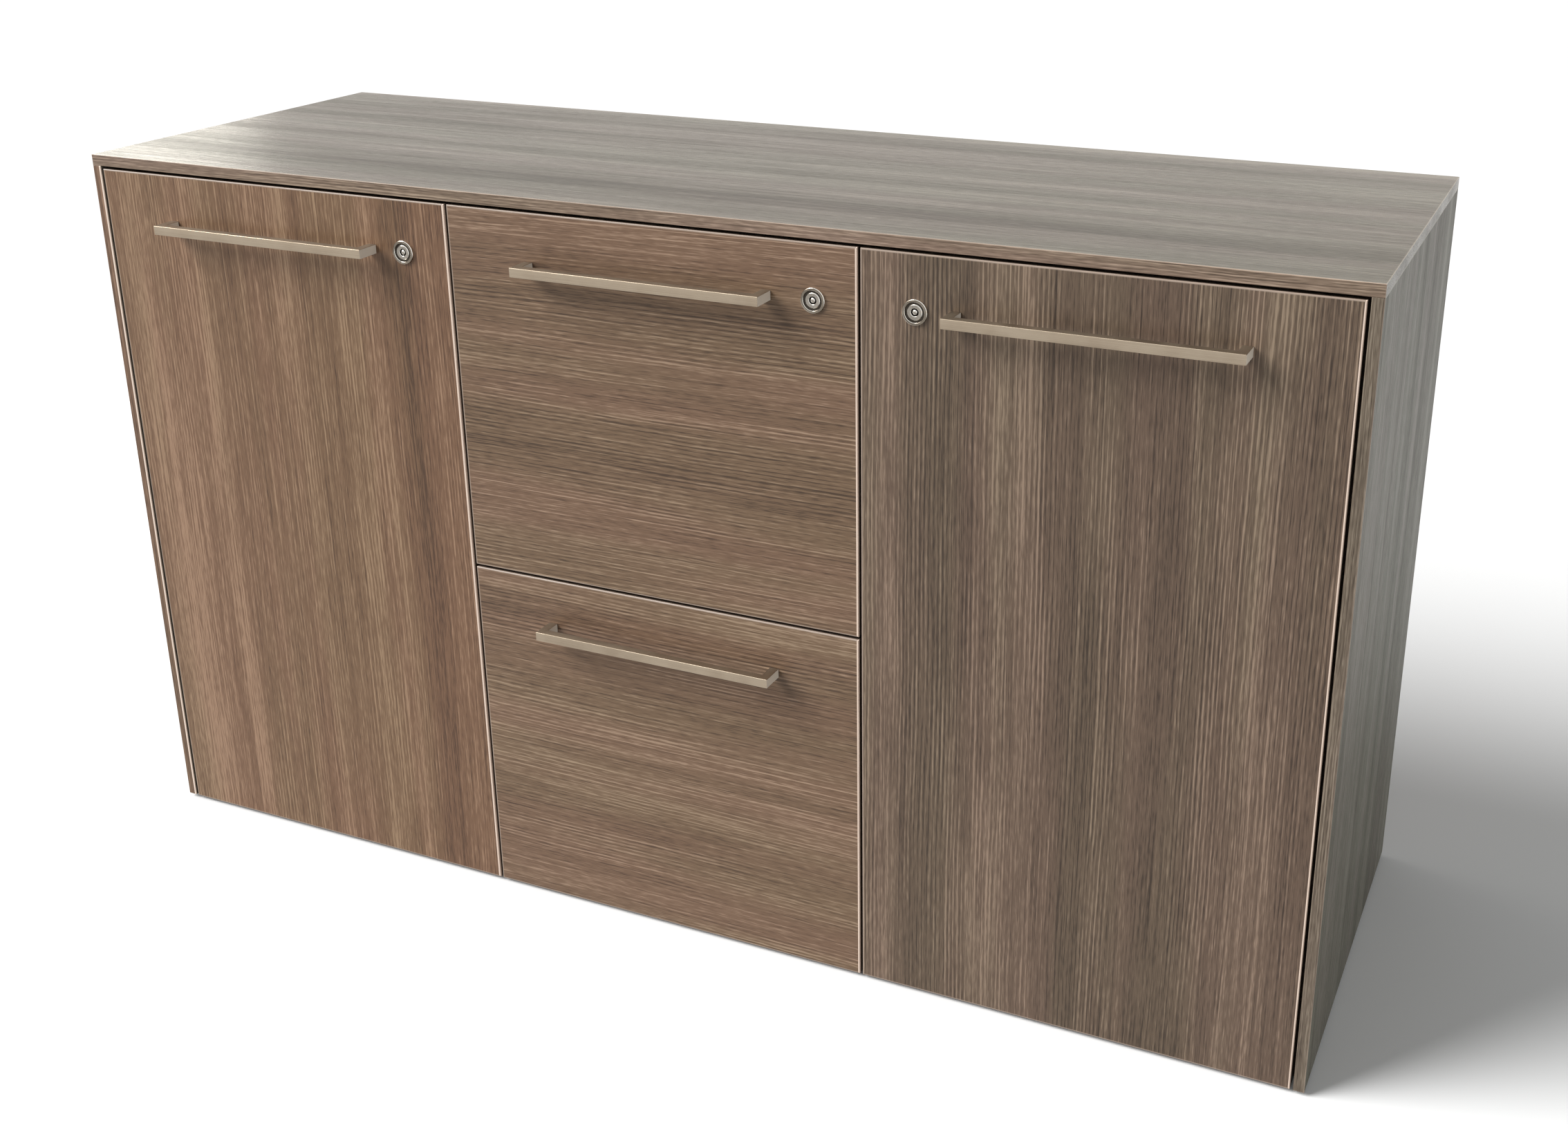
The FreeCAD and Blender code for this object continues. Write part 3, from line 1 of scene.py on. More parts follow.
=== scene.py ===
"""An office credenza dressed for display: grained laminate, square bar pulls and key locks.

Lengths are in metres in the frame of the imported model: +Z is up, +X is to the right and the
fronts face -Y. Boards keep their solids and get a finish; small turned and cast pieces are
worked out again as smooth surfaces that stand in the same places.
"""
import logging
import math
from collections.abc import Callable
from dataclasses import dataclass
from enum import Enum

import bmesh
import bpy
import numpy as np
from mathutils import Matrix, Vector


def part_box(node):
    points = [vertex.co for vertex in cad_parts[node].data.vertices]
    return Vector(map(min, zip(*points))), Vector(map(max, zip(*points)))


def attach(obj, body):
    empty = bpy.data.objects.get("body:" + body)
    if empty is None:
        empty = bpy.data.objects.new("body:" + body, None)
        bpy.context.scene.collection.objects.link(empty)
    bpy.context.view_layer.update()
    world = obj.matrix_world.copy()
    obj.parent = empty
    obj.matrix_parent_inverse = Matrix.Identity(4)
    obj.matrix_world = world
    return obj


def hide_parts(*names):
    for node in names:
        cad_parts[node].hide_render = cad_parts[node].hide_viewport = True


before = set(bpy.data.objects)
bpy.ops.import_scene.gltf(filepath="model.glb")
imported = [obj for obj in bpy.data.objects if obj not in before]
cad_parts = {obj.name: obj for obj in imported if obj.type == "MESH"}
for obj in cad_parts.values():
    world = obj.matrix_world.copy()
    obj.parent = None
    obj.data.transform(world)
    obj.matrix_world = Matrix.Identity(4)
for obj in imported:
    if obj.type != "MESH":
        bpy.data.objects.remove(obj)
LOG = logging.getLogger("credenza")
MM = 0.001
WELD = 1e-7
TOUCH = 1e-6
Colour = tuple[float, float, float]
Triple = tuple[float, float, float]
Socket = bpy.types.NodeSocket
Material = bpy.types.Material


# ---- surfaces ---------------------------------------------------------------------------
@dataclass
class Surface:
    """Points and faces of one or more grids, before they become a mesh.

    Attributes:
        points: One row of three coordinates for each point.
        faces: Lists of point numbers, one list a face.
        recess_shade: How deep in a dark recess each point lies, from 0 to 1, or None for
            nowhere;
        the finish paints shade there.
    """

    points: np.ndarray
    faces: list[list[int]]
    recess_shade: np.ndarray | None = None

    def placed(self, turn: np.ndarray, offset: Triple) -> "Surface":
        """Turn the points by a matrix whose columns are the new axes, then move them."""
        points = self.points @ turn.T + np.asarray(offset)
        return Surface(points, self.faces, self.recess_shade)


def joined(surfaces: list[Surface]) -> Surface:
    """Put several surfaces into one.

    Args:
        surfaces: The surfaces, which keep their places.

    Returns:
        One surface with all their points and faces.
    """
    starts = np.cumsum([0] + [len(part.points) for part in surfaces[:-1]])
    faces = [[number + start for number in face]
             for part, start in zip(surfaces, starts.tolist()) for face in part.faces]
    recess_shade = [np.zeros(len(part.points)) if part.recess_shade is None else part.recess_shade for part in surfaces]
    return Surface(np.concatenate([part.points for part in surfaces]), faces,
                   np.concatenate(recess_shade))


def grid(points: np.ndarray, round_about: bool = True, caps: bool = False) -> Surface:
    """Join the points of a grid into four-sided faces.

    Args:
        points: Rows by columns by three.
        round_about: Whether the last column joins the first.
        caps: Whether the first and last rows are closed by one face each.

    Returns:
        The surface of the grid.
    """
    rows, columns = points.shape[:2]
    number = np.arange(rows * columns).reshape(rows, columns)
    if round_about:
        number = np.hstack([number, number[:, :1]])
    quads = np.stack([number[:-1, :-1], number[:-1, 1:], number[1:, 1:], number[1:, :-1]], -1)
    faces = quads.reshape(-1, 4).tolist()
    if caps:
        faces += [number[0, :columns][::-1].tolist(), number[rows - 1, :columns].tolist()]
    return Surface(points.reshape(-1, 3), faces)


def turned(profile: list[tuple[float, ...]], segments: int,
           radius_of: Callable[..., np.ndarray] | None = None) -> Surface:
    """Turn a profile of radii and heights about the z axis.

    Point (i, j) is at radius r_i and angle 2 pi j / n, at height h_i. A radius function may
    change r_i with the angle and the height, for a thread or a hexagon.

    Args:
        profile: Radius and height pairs in order; a third number says how much shade is
        painted in the recess there.
        segments: Points around the axis.
        radius_of: A function of radii, angles and heights that gives the radii to use.

    Returns:
        The turned surface, its poles left as rings of no size.
    """
    radii, heights = np.array([station[:2] for station in profile], float).T[..., None]
    recess_shade = np.array([station[2] if len(station) > 2 else 0.0 for station in profile])
    angles = np.linspace(0, 2 * np.pi, segments, endpoint=False)[None, :]
    level = heights + 0 * angles
    reach = radii + 0 * angles
    if radius_of is not None:
        reach = radius_of(reach, angles, level)
    made = grid(np.stack([reach * np.cos(angles), reach * np.sin(angles), level], -1))
    return Surface(made.points, made.faces, np.repeat(recess_shade, segments))


def arc(middle: tuple[float, float], radius: float, start: float, end: float,
        steps: int = 7) -> np.ndarray:
    """Work out evenly spaced points on part of a circle.

    Each point is the middle plus the radius times the cosine and sine of its angle.

    Args:
        middle: The circle's middle.
        radius: Its radius.
        start: The first point's angle in degrees.
        end: The last point's angle.
        steps: Number of points.

    Returns:
        The points, two columns.
    """
    angle = np.radians(np.linspace(start, end, steps))
    return np.stack([np.cos(angle), np.sin(angle)], -1) * radius + middle


def rounded_square(side: float, radius: float, steps: int = 5) -> np.ndarray:
    """Work out a square's outline with round corners, anticlockwise from its right side.

    Args:
        side: Length of its side.
        radius: Radius of the corners.
        steps: Points in each corner.

    Returns:
        The points, two columns.
    """
    inset = side / 2 - radius
    signs = ((1, 1), (-1, 1), (-1, -1), (1, -1))
    return np.concatenate([arc((across * inset, up * inset), radius, 90 * quarter,
                               90 * quarter + 90, steps)
                           for quarter, (across, up) in enumerate(signs)])


def plate(outline: np.ndarray, low: float, high: float, arris: float) -> Surface:
    """Raise an outline between two heights, its edges drawn in by an arris.

    Every row is the outline, pulled towards its middle by the arris at the first and last
    heights, so that the edges are chamfered.

    Args:
        outline: Two columns of points.
        low: Height of the lower face.
        high: Height of the upper face.
        arris: Width of the chamfer.

    Returns:
        A closed surface.
    """
    middle = outline.mean(0)
    reach = np.linalg.norm(outline - middle, axis=1, keepdims=True)
    inner = middle + (outline - middle) * (1 - arris / reach)
    rows = [(inner, low), (outline, low + arris), (outline, high - arris), (inner, high)]
    return grid(np.stack([np.column_stack([line, np.full(len(line), level)])
                          for line, level in rows]), caps=True)


class Turn(Enum):
    """Ways to lay down a piece that is worked out upright, as matrices of new axes."""

    FORWARD = ((1, 0, 0), (0, 0, -1), (0, 1, 0))
    REARWARD = ((1, 0, 0), (0, 0, 1), (0, -1, 0))

    @property
    def matrix(self) -> np.ndarray:
        """Give the matrix as an array."""
        return np.array(self.value, float)


def add_object(name: str, data: bpy.types.ID) -> bpy.types.Object:
    """Add an object to the scene.

    Args:
        name: Its name.
        data: Its mesh, lamp or camera.

    Returns:
        The object, at the origin.
    """
    made = bpy.data.objects.new(name, data)
    bpy.context.scene.collection.objects.link(made)
    return made


def make_piece(name: str, surface: Surface, body: str, finish: Material, stands_for: str,
               crease: float, bevel: float = 0.0) -> None:
    """Make a mesh from a surface, finish it and let it ride on a body.

    Args:
        name: The piece's name.
        surface: Its points and faces, in place.
        body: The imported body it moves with.
        finish: Its material.
        stands_for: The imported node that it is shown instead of.
        crease: Angle in degrees past which an edge stays sharp.
        bevel: Width of a bevel on sharp edges, in metres.
    """
    mesh = bpy.data.meshes.new(name)
    mesh.from_pydata(surface.points.tolist(), [], surface.faces)
    # Each point's recess depth goes on the mesh, for the finish to paint shade there.
    if surface.recess_shade is not None:
        mesh.attributes.new("recess_shade", "FLOAT", "POINT").data.foreach_set("value", surface.recess_shade)
    work = bmesh.new()
    work.from_mesh(mesh)
    bmesh.ops.remove_doubles(work, verts=work.verts, dist=WELD)
    bmesh.ops.recalc_face_normals(work, faces=work.faces)
    for face in work.faces:
        face.smooth = True
    for edge in work.edges:
        if len(edge.link_faces) == 2:
            edge.smooth = edge.calc_face_angle(0) < math.radians(crease)
    work.to_mesh(mesh)
    work.free()
    mesh.materials.append(finish)
    piece = add_object(name, mesh)
    if bevel:
        modifier = piece.modifiers.new("arris", "BEVEL")
        modifier.width = bevel
        modifier.segments = 2
        modifier.angle_limit = math.radians(crease)
    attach(piece, body)
    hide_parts(stands_for)
    LOG.info("%s rides on %s with %d faces", name, body, len(mesh.polygons))


def dress(node: str, finish: Material) -> None:
    """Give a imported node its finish.

    Args:
        node: The node's name.
        finish: The material for all of it.
    """
    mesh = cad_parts[node].data
    mesh.materials.clear()
    mesh.materials.append(finish)
    LOG.info("%s wears %s", node, finish.name)


# ---- shader trees -----------------------------------------------------------------------
class Tree:
    """A node tree under construction, with one short call for each kind of node used."""

    def __init__(self, tree: bpy.types.NodeTree) -> None:
        """Take the tree to build in."""
        self.tree = tree

    def node(self, kind: str, settings: dict[str, object] | None = None,
             **inputs: object) -> bpy.types.Node:
        """Add a node.

        Args:
            kind: The node's type without its ShaderNode prefix.
            settings: Its properties.
            **inputs: Sockets or values for its inputs, spaces written as underscores.

        Returns:
            The node.
        """
        made = self.tree.nodes.new(f"ShaderNode{kind}")
        for key, value in (settings or {}).items():
            setattr(made, key, value)
        for key, value in inputs.items():
            self.feed(made.inputs[key.replace("_", " ")], value)
        return made

    def feed(self, socket: Socket, value: object) -> None:
        """Link a socket to an input, or set the input to a value.

        Args:
            socket: The input.
            value: A socket or a plain value; a colour goes without its alpha.
        """
        if isinstance(value, bpy.types.NodeSocket):
            self.tree.links.new(value, socket)
        elif isinstance(value, tuple) and len(value) == 3 and socket.type == "RGBA":
            socket.default_value = (*value, 1.0)
        else:
            socket.default_value = value

    def math(self, operation: str, *numbers: object, clamp: bool = False) -> Socket:
        """Reckon with numbers.

        Args:
            operation: The operation's name on the node.
            *numbers: Numbers or sockets.
            clamp: Whether the result is kept between 0 and 1.

        Returns:
            The result.
        """
        made = self.node("Math", {"operation": operation, "use_clamp": clamp})
        for socket, number in zip(made.inputs, numbers):
            self.feed(socket, number)
        return made.outputs[0]

    def times(self, first: object, second: object) -> Socket:
        """Multiply two numbers."""
        return self.math("MULTIPLY", first, second)

    def blend(self, first: Socket, second: Socket, share: float) -> Socket:
        """Add a share of the second number to the rest of the first."""
        return self.math("ADD", self.times(first, 1.0 - share), self.times(second, share))

    def vector(self, operation: str, first: object, second: object) -> Socket:
        """Reckon with two vectors.

        Args:
            operation: The operation's name on the node.
            first: The first vector or socket.
            second: The second vector or socket.

        Returns:
            The result, a number for a dot product and otherwise a vector.
        """
        made = self.node("VectorMath", {"operation": operation})
        self.feed(made.inputs[0], first)
        self.feed(made.inputs[1], second)
        return made.outputs["Value" if operation == "DOT_PRODUCT" else "Vector"]

    def parts(self, vector: Socket) -> tuple[Socket, ...]:
        """Take a vector apart into x, y and z."""
        return tuple(self.node("SeparateXYZ", Vector=vector).outputs)

    def noise(self, vector: Socket, stretch: Triple | float, detail: float,
              roughness: float = 0.5) -> Socket:
        """Add a cloudy noise from 0 to 1.

        Args:
            vector: The place to read it at.
            stretch: Cells to the metre, along each axis or along all.
            detail: Finer layers.
            roughness: Strength of the finer layers.

        Returns:
            The noise's value.
        """
        cells = stretch if isinstance(stretch, tuple) else (stretch,) * 3
        return self.node("TexNoise", Vector=self.vector("MULTIPLY", vector, cells), Scale=1.0,
                         Detail=detail, Roughness=roughness).outputs["Fac"]

    def spread(self, value: object, low: float, high: float, to_low: float = 0.0,
               to_high: float = 1.0) -> Socket:
        """Map a range smoothly onto another and clamp it there.

        Args:
            value: The number to map.
            low: Where the old range begins.
            high: Where the old range ends.
            to_low: What the beginning becomes.
            to_high: What the end becomes.

        Returns:
            The mapped number.
        """
        return self.node("MapRange", {"interpolation_type": "SMOOTHSTEP"}, Value=value,
                         From_Min=low, From_Max=high, To_Min=to_low,
                         To_Max=to_high).outputs["Result"]

    def mix(self, share: object, first: object, second: object) -> Socket:
        """Mix two colours.

        Args:
            share: How much of the second.
            first: The first colour.
            second: The second colour.

        Returns:
            The mixed colour.
        """
        made = self.node("Mix", {"data_type": "RGBA"})
        for number, value in ((0, share), (6, first), (7, second)):
            self.feed(made.inputs[number], value)
        return made.outputs[2]

    def looked_at(self) -> Socket:
        """Tell rays that look from rays that light.

        Returns:
            1 for a ray from the camera or by way of a mirror or glass, else 0.
        """
        path = self.node("LightPath")
        camera, glossy, through = (path.outputs[f"Is {kind} Ray"] for kind in
                                   ("Camera", "Glossy", "Transmission"))
        return self.math("MAXIMUM", camera, self.math("MAXIMUM", glossy, through))

    def side_facing(self) -> Socket:
        """Give 1 where a face looks along the piece's x axis, either way, and else 0."""
        across = self.parts(self.node("TexCoord").outputs["Normal"])[0]
        return self.spread(self.math("ABSOLUTE", across), 0.75, 0.95)


def group_tree(name: str, inputs: dict[str, tuple[str, object]],
               outputs: dict[str, str]) -> tuple[Tree, dict[str, Socket], dict[str, Socket]]:
    """Start a shader node group with named inputs and outputs.

    Args:
        name: The group's name.
        inputs: Name to kind (Vector, Float or Color) and default.
        outputs: Name to kind.

    Returns:
        The tree, its input values and its output sockets.
    """
    tree = bpy.data.node_groups.new(name, "ShaderNodeTree")
    for key, (kind, value) in inputs.items():
        made = tree.interface.new_socket(key, in_out="INPUT", socket_type=f"NodeSocket{kind}")
        made.default_value = value
    for key, kind in outputs.items():
        tree.interface.new_socket(key, in_out="OUTPUT", socket_type=f"NodeSocket{kind}")
    arrivals = tree.nodes.new("NodeGroupInput")
    leavings = tree.nodes.new("NodeGroupOutput")
    return Tree(tree), dict(arrivals.outputs.items()), dict(leavings.inputs.items())


WARMER = (1.022, 0.990, 1.003)
GREENER = (0.978, 1.007, 0.975)


class GrainNoise(Enum):
    """The noises that make up the grain: cells to the metre along it and across it."""

    SWAY = (1.5, 4.0)
    QUIVER = (14.0, 60.0)
    DRIFT = (0.3, 26.0)
    PALE_PATCHES = (2.2, 34.0)
    DEEP_PATCHES = (1.8, 22.0)
    BANDS = (0.30, 13.0)
    STREAKS = (0.9, 52.0)
    HUE = (1.4, 22.0)
    DASHES = (6.0, 420.0)
    HAIRS = (8.0, 800.0)
    FLECKS = (75.0, 900.0)

    def at(self, tree: Tree, place: Socket, roughness: float = 0.5) -> Socket:
        """Read the noise at a place whose x axis runs along the grain."""
        along, across = self.value
        return tree.noise(place, (along, across, across), 1.0, roughness)


def straight_grain() -> bpy.types.NodeTree:
    """Build the group for straight wood grain that runs along its vector's x axis.

    The distance across the grain is y + z, pushed about by a slow and a quick noise. Pin lines
    are the distance's zigzag of one pitch, narrowed to thin dark and thin pale lines, which
    fade in and out in long patches and break into dashes. Bands, streaks, dashes, hairs and
    flecks are noises squeezed across the grain. The weighted sum of all picks a colour between
    three, and a slow noise tints it warmer or greener.

    Returns:
        The node group.
    """
    tree, given, out = group_tree(
        "straight_grain",
        {"Vector": ("Vector", (0, 0, 0)), "Dark": ("Color", (0.1, 0.06, 0.04, 1)),
         "Middle": ("Color", (0.2, 0.14, 0.1, 1)), "Light": ("Color", (0.3, 0.2, 0.15, 1)),
         "Band Strength": ("Float", 0.3), "Line Strength": ("Float", 0.3),
         "Pin Strength": ("Float", 0.2), "Pin Pitch": ("Float", 4.0 * MM)},
        {"Color": "Color", "Shade": "Float", "Fibres": "Float"})
    place = given["Vector"]
    sway, quiver, drift_steps = 12.0 * MM, 0.9 * MM, 3.0
    push = tree.math("ADD", tree.times(GrainNoise.SWAY.at(tree, place), sway),
                     tree.times(GrainNoise.QUIVER.at(tree, place), quiver))
    swayed = tree.vector("ADD", place, tree.node("CombineXYZ", Y=push, Z=push).outputs[0])
    _, breadth, rise = tree.parts(swayed)
    drift = tree.times(GrainNoise.DRIFT.at(tree, swayed), drift_steps)
    steps = tree.math("ADD", tree.math("DIVIDE", tree.math("ADD", breadth, rise),
                                       given["Pin Pitch"]), drift)
    zigzag = tree.times(tree.math("PINGPONG", steps, 0.5), 2.0)
    dashes = GrainNoise.DASHES.at(tree, swayed, 0.6)
    pale = tree.times(tree.spread(zigzag, 0.55, 0.95),
                      tree.spread(GrainNoise.PALE_PATCHES.at(tree, swayed), 0.36, 0.62))
    deep = tree.times(tree.spread(zigzag, 0.40, 0.05),
                      tree.spread(GrainNoise.DEEP_PATCHES.at(tree, swayed), 0.34, 0.60))
    pins = tree.times(tree.math("SUBTRACT", pale, deep),
                      tree.spread(dashes, 0.32, 0.58, 0.45, 1.25))
    shade = tree.math("ADD", tree.times(pins, given["Pin Strength"]), 0.5)
    flecks = GrainNoise.FLECKS.at(tree, place, 0.6)
    layers = ((GrainNoise.BANDS.at(tree, swayed), 1.7, "Band Strength"),
              (GrainNoise.STREAKS.at(tree, swayed), 0.9, "Line Strength"),
              (dashes, 1.0, "Line Strength"),
              (GrainNoise.HAIRS.at(tree, swayed, 0.6), 1.7, "Line Strength"),
              (flecks, 1.5, "Line Strength"))
    for layer, weight, strength in layers:
        part = tree.times(tree.math("SUBTRACT", layer, 0.5), weight)
        shade = tree.math("ADD", shade, tree.times(part, given[strength]))
    lower = tree.mix(tree.spread(shade, 0.05, 0.52), given["Dark"], given["Middle"])
    colour = tree.mix(tree.spread(shade, 0.48, 0.95), lower, given["Light"])
    greener = tree.spread(GrainNoise.HUE.at(tree, swayed), 0.34, 0.66)
    tint = tree.mix(greener, WARMER, GREENER)
    tree.feed(out["Color"], tree.vector("MULTIPLY", colour, tint))
    tree.feed(out["Shade"], shade)
    tree.feed(out["Fibres"], flecks)
    return tree.tree


def arris_mask() -> bpy.types.NodeTree:
    """Build the group that finds a board's arrises from the corners of its box.

    Along each axis, nearness is 1 on the box's face and falls to 0 within the width. Two of
    the three are near 1 only along an arris, so their sum less 1 is the mask.

    Returns:
        The node group.
    """
    tree, given, out = group_tree(
        "arris_mask",
        {"Vector": ("Vector", (0, 0, 0)), "Low": ("Vector", (0, 0, 0)),
         "High": ("Vector", (1, 1, 1)), "Width": ("Float", 1.0 * MM)},
        {"Mask": "Float"})
    inward = tree.vector("MINIMUM", tree.vector("SUBTRACT", given["Vector"], given["Low"]),
                         tree.vector("SUBTRACT", given["High"], given["Vector"]))
    total: object = -1.0
    for distance in tree.parts(inward):
        near = tree.math("SUBTRACT", 1.0, tree.math("DIVIDE", distance, given["Width"]),
                         clamp=True)
        total = tree.math("ADD", near, total)
    tree.feed(out["Mask"], tree.math("MULTIPLY", total, 1.0, clamp=True))
    return tree.tree


def drawn_lines() -> bpy.types.NodeTree:
    """Build the group for fine lines left by brushing along the vector's x axis.

    Two noises, squeezed hard across the lines, are added; a cloudy one gives slow patches.

    Returns:
        The node group.
    """
    tree, given, out = group_tree(
        "drawn_lines", {"Vector": ("Vector", (0, 0, 0)), "Fineness": ("Float", 1.0)},
        {"Lines": "Float", "Patches": "Float"})
    squeeze = tree.node("CombineXYZ", X=1.0, Y=given["Fineness"], Z=given["Fineness"])
    scaled = tree.vector("MULTIPLY", given["Vector"], squeeze.outputs[0])
    coarse = tree.noise(scaled, (9.0, 2600.0, 2600.0), 2.0)
    fine = tree.noise(scaled, (25.0, 7000.0, 7000.0), 1.0)
    tree.feed(out["Lines"], tree.blend(coarse, fine, 0.4))
    tree.feed(out["Patches"], tree.noise(given["Vector"], 30.0, 3.0))
    return tree.tree


class Effects:
    """The shared node groups, each built once."""

    def __init__(self) -> None:
        """Build them all."""
        self.grain = straight_grain()
        self.arris = arris_mask()
        self.lines = drawn_lines()


class Skin:
    """A material under construction: one surface shader on object coordinates.

    Attributes:
        material: The material.
        tree: Its nodes.
        shader: Its surface shader.
        place: The object coordinates.
    """

    def __init__(self, name: str, **settings: object) -> None:
        """Start the material.

        Args:
            name: The material's name.
            **settings: Plain values for the shader's own sockets, spaces as underscores.
        """
        self.material = bpy.data.materials.new(name)
        self.material.use_nodes = True
        self.material.node_tree.nodes.clear()
        self.tree = Tree(self.material.node_tree)
        self.shader = self.tree.node("BsdfPrincipled", **settings)
        self.tree.node("OutputMaterial", Surface=self.shader.outputs[0])
        self.place = self.tree.node("TexCoord").outputs["Object"]

    def arrises(self, effects: Effects, node: str, width: float) -> Socket:
        """Give the mask of the arrises, of one width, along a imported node's box."""
        low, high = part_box(node)
        return self.tree.node("Group", {"node_tree": effects.arris}, Vector=self.place,
                              Low=tuple(low), High=tuple(high), Width=width).outputs["Mask"]

    def complete(self, colour: Socket, roughness: Socket, height: Socket,
                 depth: float) -> Material:
        """Feed the shader.

        Args:
            colour: The base colour.
            roughness: The roughness.
            height: Height of the fine relief, from 0 to 1.
            depth: What 1 stands for, in metres.

        Returns:
            The material.
        """
        relief = self.tree.node("Bump", Height=height, Distance=depth, Strength=1.0)
        for name, socket in (("Base Color", colour), ("Roughness", roughness),
                             ("Normal", relief.outputs["Normal"])):
            self.tree.feed(self.shader.inputs[name], socket)
        return self.material


# ---- finishes ---------------------------------------------------------------------------
# The pale strip painted along the +X edge of a board, a painted highlight.
EDGE_HIGHLIGHT = (0.74, 0.59, 0.485)
# The ends' paler metal: a cut finish and a painted highlight.
PALE_END_METAL = (0.78, 0.71, 0.61)
# The colour of the painted highlight on slopes.
PAINTED_GLINT = (0.93, 0.90, 0.84)
# The colour of the shade painted into recesses.
RECESS_SHADE_COLOUR = (0.012, 0.010, 0.008)


class GrainLie(Enum):
    """How the grain lies: the turn that brings it onto the group's x axis, in degrees."""

    UPRIGHT = (0.0, 90.0, 0.0)
    LEVEL = (0.0, 0.0, 0.0)


@dataclass(frozen=True)
class GrainedLaminate:
    """A printed laminate with straight grain, pressed fine pores and a painted arris highlight.

    Attributes:
        dark: Colour of the darkest lines.
        middle: Colour of the ground.
        light: Colour of the palest lines.
        arris: Colour along the board's arrises, a painted highlight.
        roughness: Roughness of the ground.
        gloss: Specular level of the surface.
        bands: How much the wide bands differ.
        lines: How much the lines differ.
        pins: How much the even pin lines differ.
        pin_pitch: Distance from one pin line to the next.
        arris_width: Width of the painted highlight along the arrises.
        lit_strip: Width of the painted highlight strip along the board's +X edge.
    """

    dark: Colour
    middle: Colour
    light: Colour
    arris: Colour = (0.36, 0.25, 0.17)
    roughness: float = 0.42
    gloss: float = 0.3
    bands: float = 0.42
    lines: float = 0.50
    pins: float = 0.16
    pin_pitch: float = 4.0 * MM
    arris_width: float = 0.7 * MM
    lit_strip: float = 0.0

    def lay(self, skin: Skin, effects: Effects, lie: GrainLie,
            shift: Triple = (0.0, 0.0, 0.0)) -> bpy.types.Node:
        """Lay the grain on a surface.

        Args:
            skin: The material under construction.
            effects: The shared groups.
            lie: How the grain lies.
            shift: Where in the endless pattern this board is cut, in metres.

        Returns:
            The grain's node.
        """
        mapping = skin.tree.node("Mapping", Vector=skin.place)
        mapping.inputs["Rotation"].default_value = [math.radians(a) for a in lie.value]
        mapping.inputs["Location"].default_value = shift
        return skin.tree.node("Group", {"node_tree": effects.grain}, Vector=mapping.outputs[0],
                              Dark=self.dark, Middle=self.middle, Light=self.light,
                              Band_Strength=self.bands, Line_Strength=self.lines,
                              Pin_Strength=self.pins, Pin_Pitch=self.pin_pitch)

    def material(self, effects: Effects, node: str, lie: GrainLie, shift: Triple) -> Material:
        """Make the finish for one board.

        Args:
            effects: The shared groups.
            node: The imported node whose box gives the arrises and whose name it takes.
            lie: How the grain lies.
            shift: Where in the endless pattern this board is cut, in metres.

        Returns:
            The material.
        """
        skin = Skin(f"laminate_{node}", Specular_IOR_Level=self.gloss)
        tree = skin.tree
        grain = self.lay(skin, effects, lie, shift)
        # Paler arrises: a painted highlight.
        arris_highlight = tree.times(skin.arrises(effects, node, self.arris_width), 0.8)
        colour = tree.mix(arris_highlight, grain.outputs["Color"], self.arris)
        # A pale strip along the +X edge: a painted highlight.
        if self.lit_strip:
            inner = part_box(node)[1].x - self.lit_strip
            strip = tree.spread(tree.parts(skin.place)[0], inner - 0.2 * MM, inner)
            colour = tree.mix(strip, colour, EDGE_HIGHLIGHT)
        rough = tree.spread(grain.outputs["Shade"], 0.2, 0.8, self.roughness + 0.06,
                            self.roughness - 0.06)
        return skin.complete(colour, rough, grain.outputs["Fibres"], 0.04 * MM)


@dataclass(frozen=True)
class EdgeBand:
    """A plain pinkish band glued round a front: faint length lines, painted highlight and shade.

    Attributes:
        ground: Its pale colour, which shows only in the painted highlight strip along its +X
            side.
        streak: The colour of its faint lines.
        darker_ground: Its darker colour everywhere but that strip.
        gap_shade: The colour of the shade painted on it inside the gap beside the front.
        gap_shade_depth: Where behind the face the painted shade begins and where it is full.
        highlight_side: How far in from the +X side the painted highlight begins and where it is
            full.
        roughness: Its roughness.
    """

    ground: Colour = (0.86, 0.69, 0.57)
    streak: Colour = (0.68, 0.52, 0.42)
    darker_ground: Colour = (0.34, 0.262, 0.208)
    gap_shade: Colour = (0.085, 0.061, 0.047)
    gap_shade_depth: tuple[float, float] = (1.2 * MM, 2.8 * MM)
    highlight_side: tuple[float, float] = (1.3 * MM, 0.9 * MM)
    roughness: float = 0.38

    def material(self, effects: Effects, node: str) -> Material:
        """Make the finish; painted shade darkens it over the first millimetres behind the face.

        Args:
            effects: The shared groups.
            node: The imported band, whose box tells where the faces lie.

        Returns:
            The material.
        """
        low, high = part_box(node)
        skin = Skin(node, Specular_IOR_Level=0.4)
        tree = skin.tree
        across, depth, _ = tree.parts(skin.place)
        cloud = tree.noise(skin.place, 14.0, 4.0, 0.6)
        lines = tree.node("Group", {"node_tree": effects.lines}, Vector=skin.place,
                          Fineness=0.5).outputs["Lines"]
        streaked = tree.mix(tree.spread(tree.blend(cloud, lines, 0.4), 0.35, 0.7), self.ground,
                            self.streak)
        # Painted highlight: the pale ground shows only in a strip along the +X side.
        beside = tree.spread(across, *(high.x - reach for reach in self.highlight_side))
        # Painted shade: the band darkens over the first millimetres behind the face, in the gap.
        behind = tree.spread(depth, *(low.y + reach for reach in self.gap_shade_depth))
        colour = tree.mix(behind, tree.mix(beside, self.darker_ground, streaked), self.gap_shade)
        rough = tree.spread(cloud, 0.2, 0.8, self.roughness - 0.05, self.roughness + 0.08)
        return skin.complete(colour, rough, lines, 0.03 * MM)


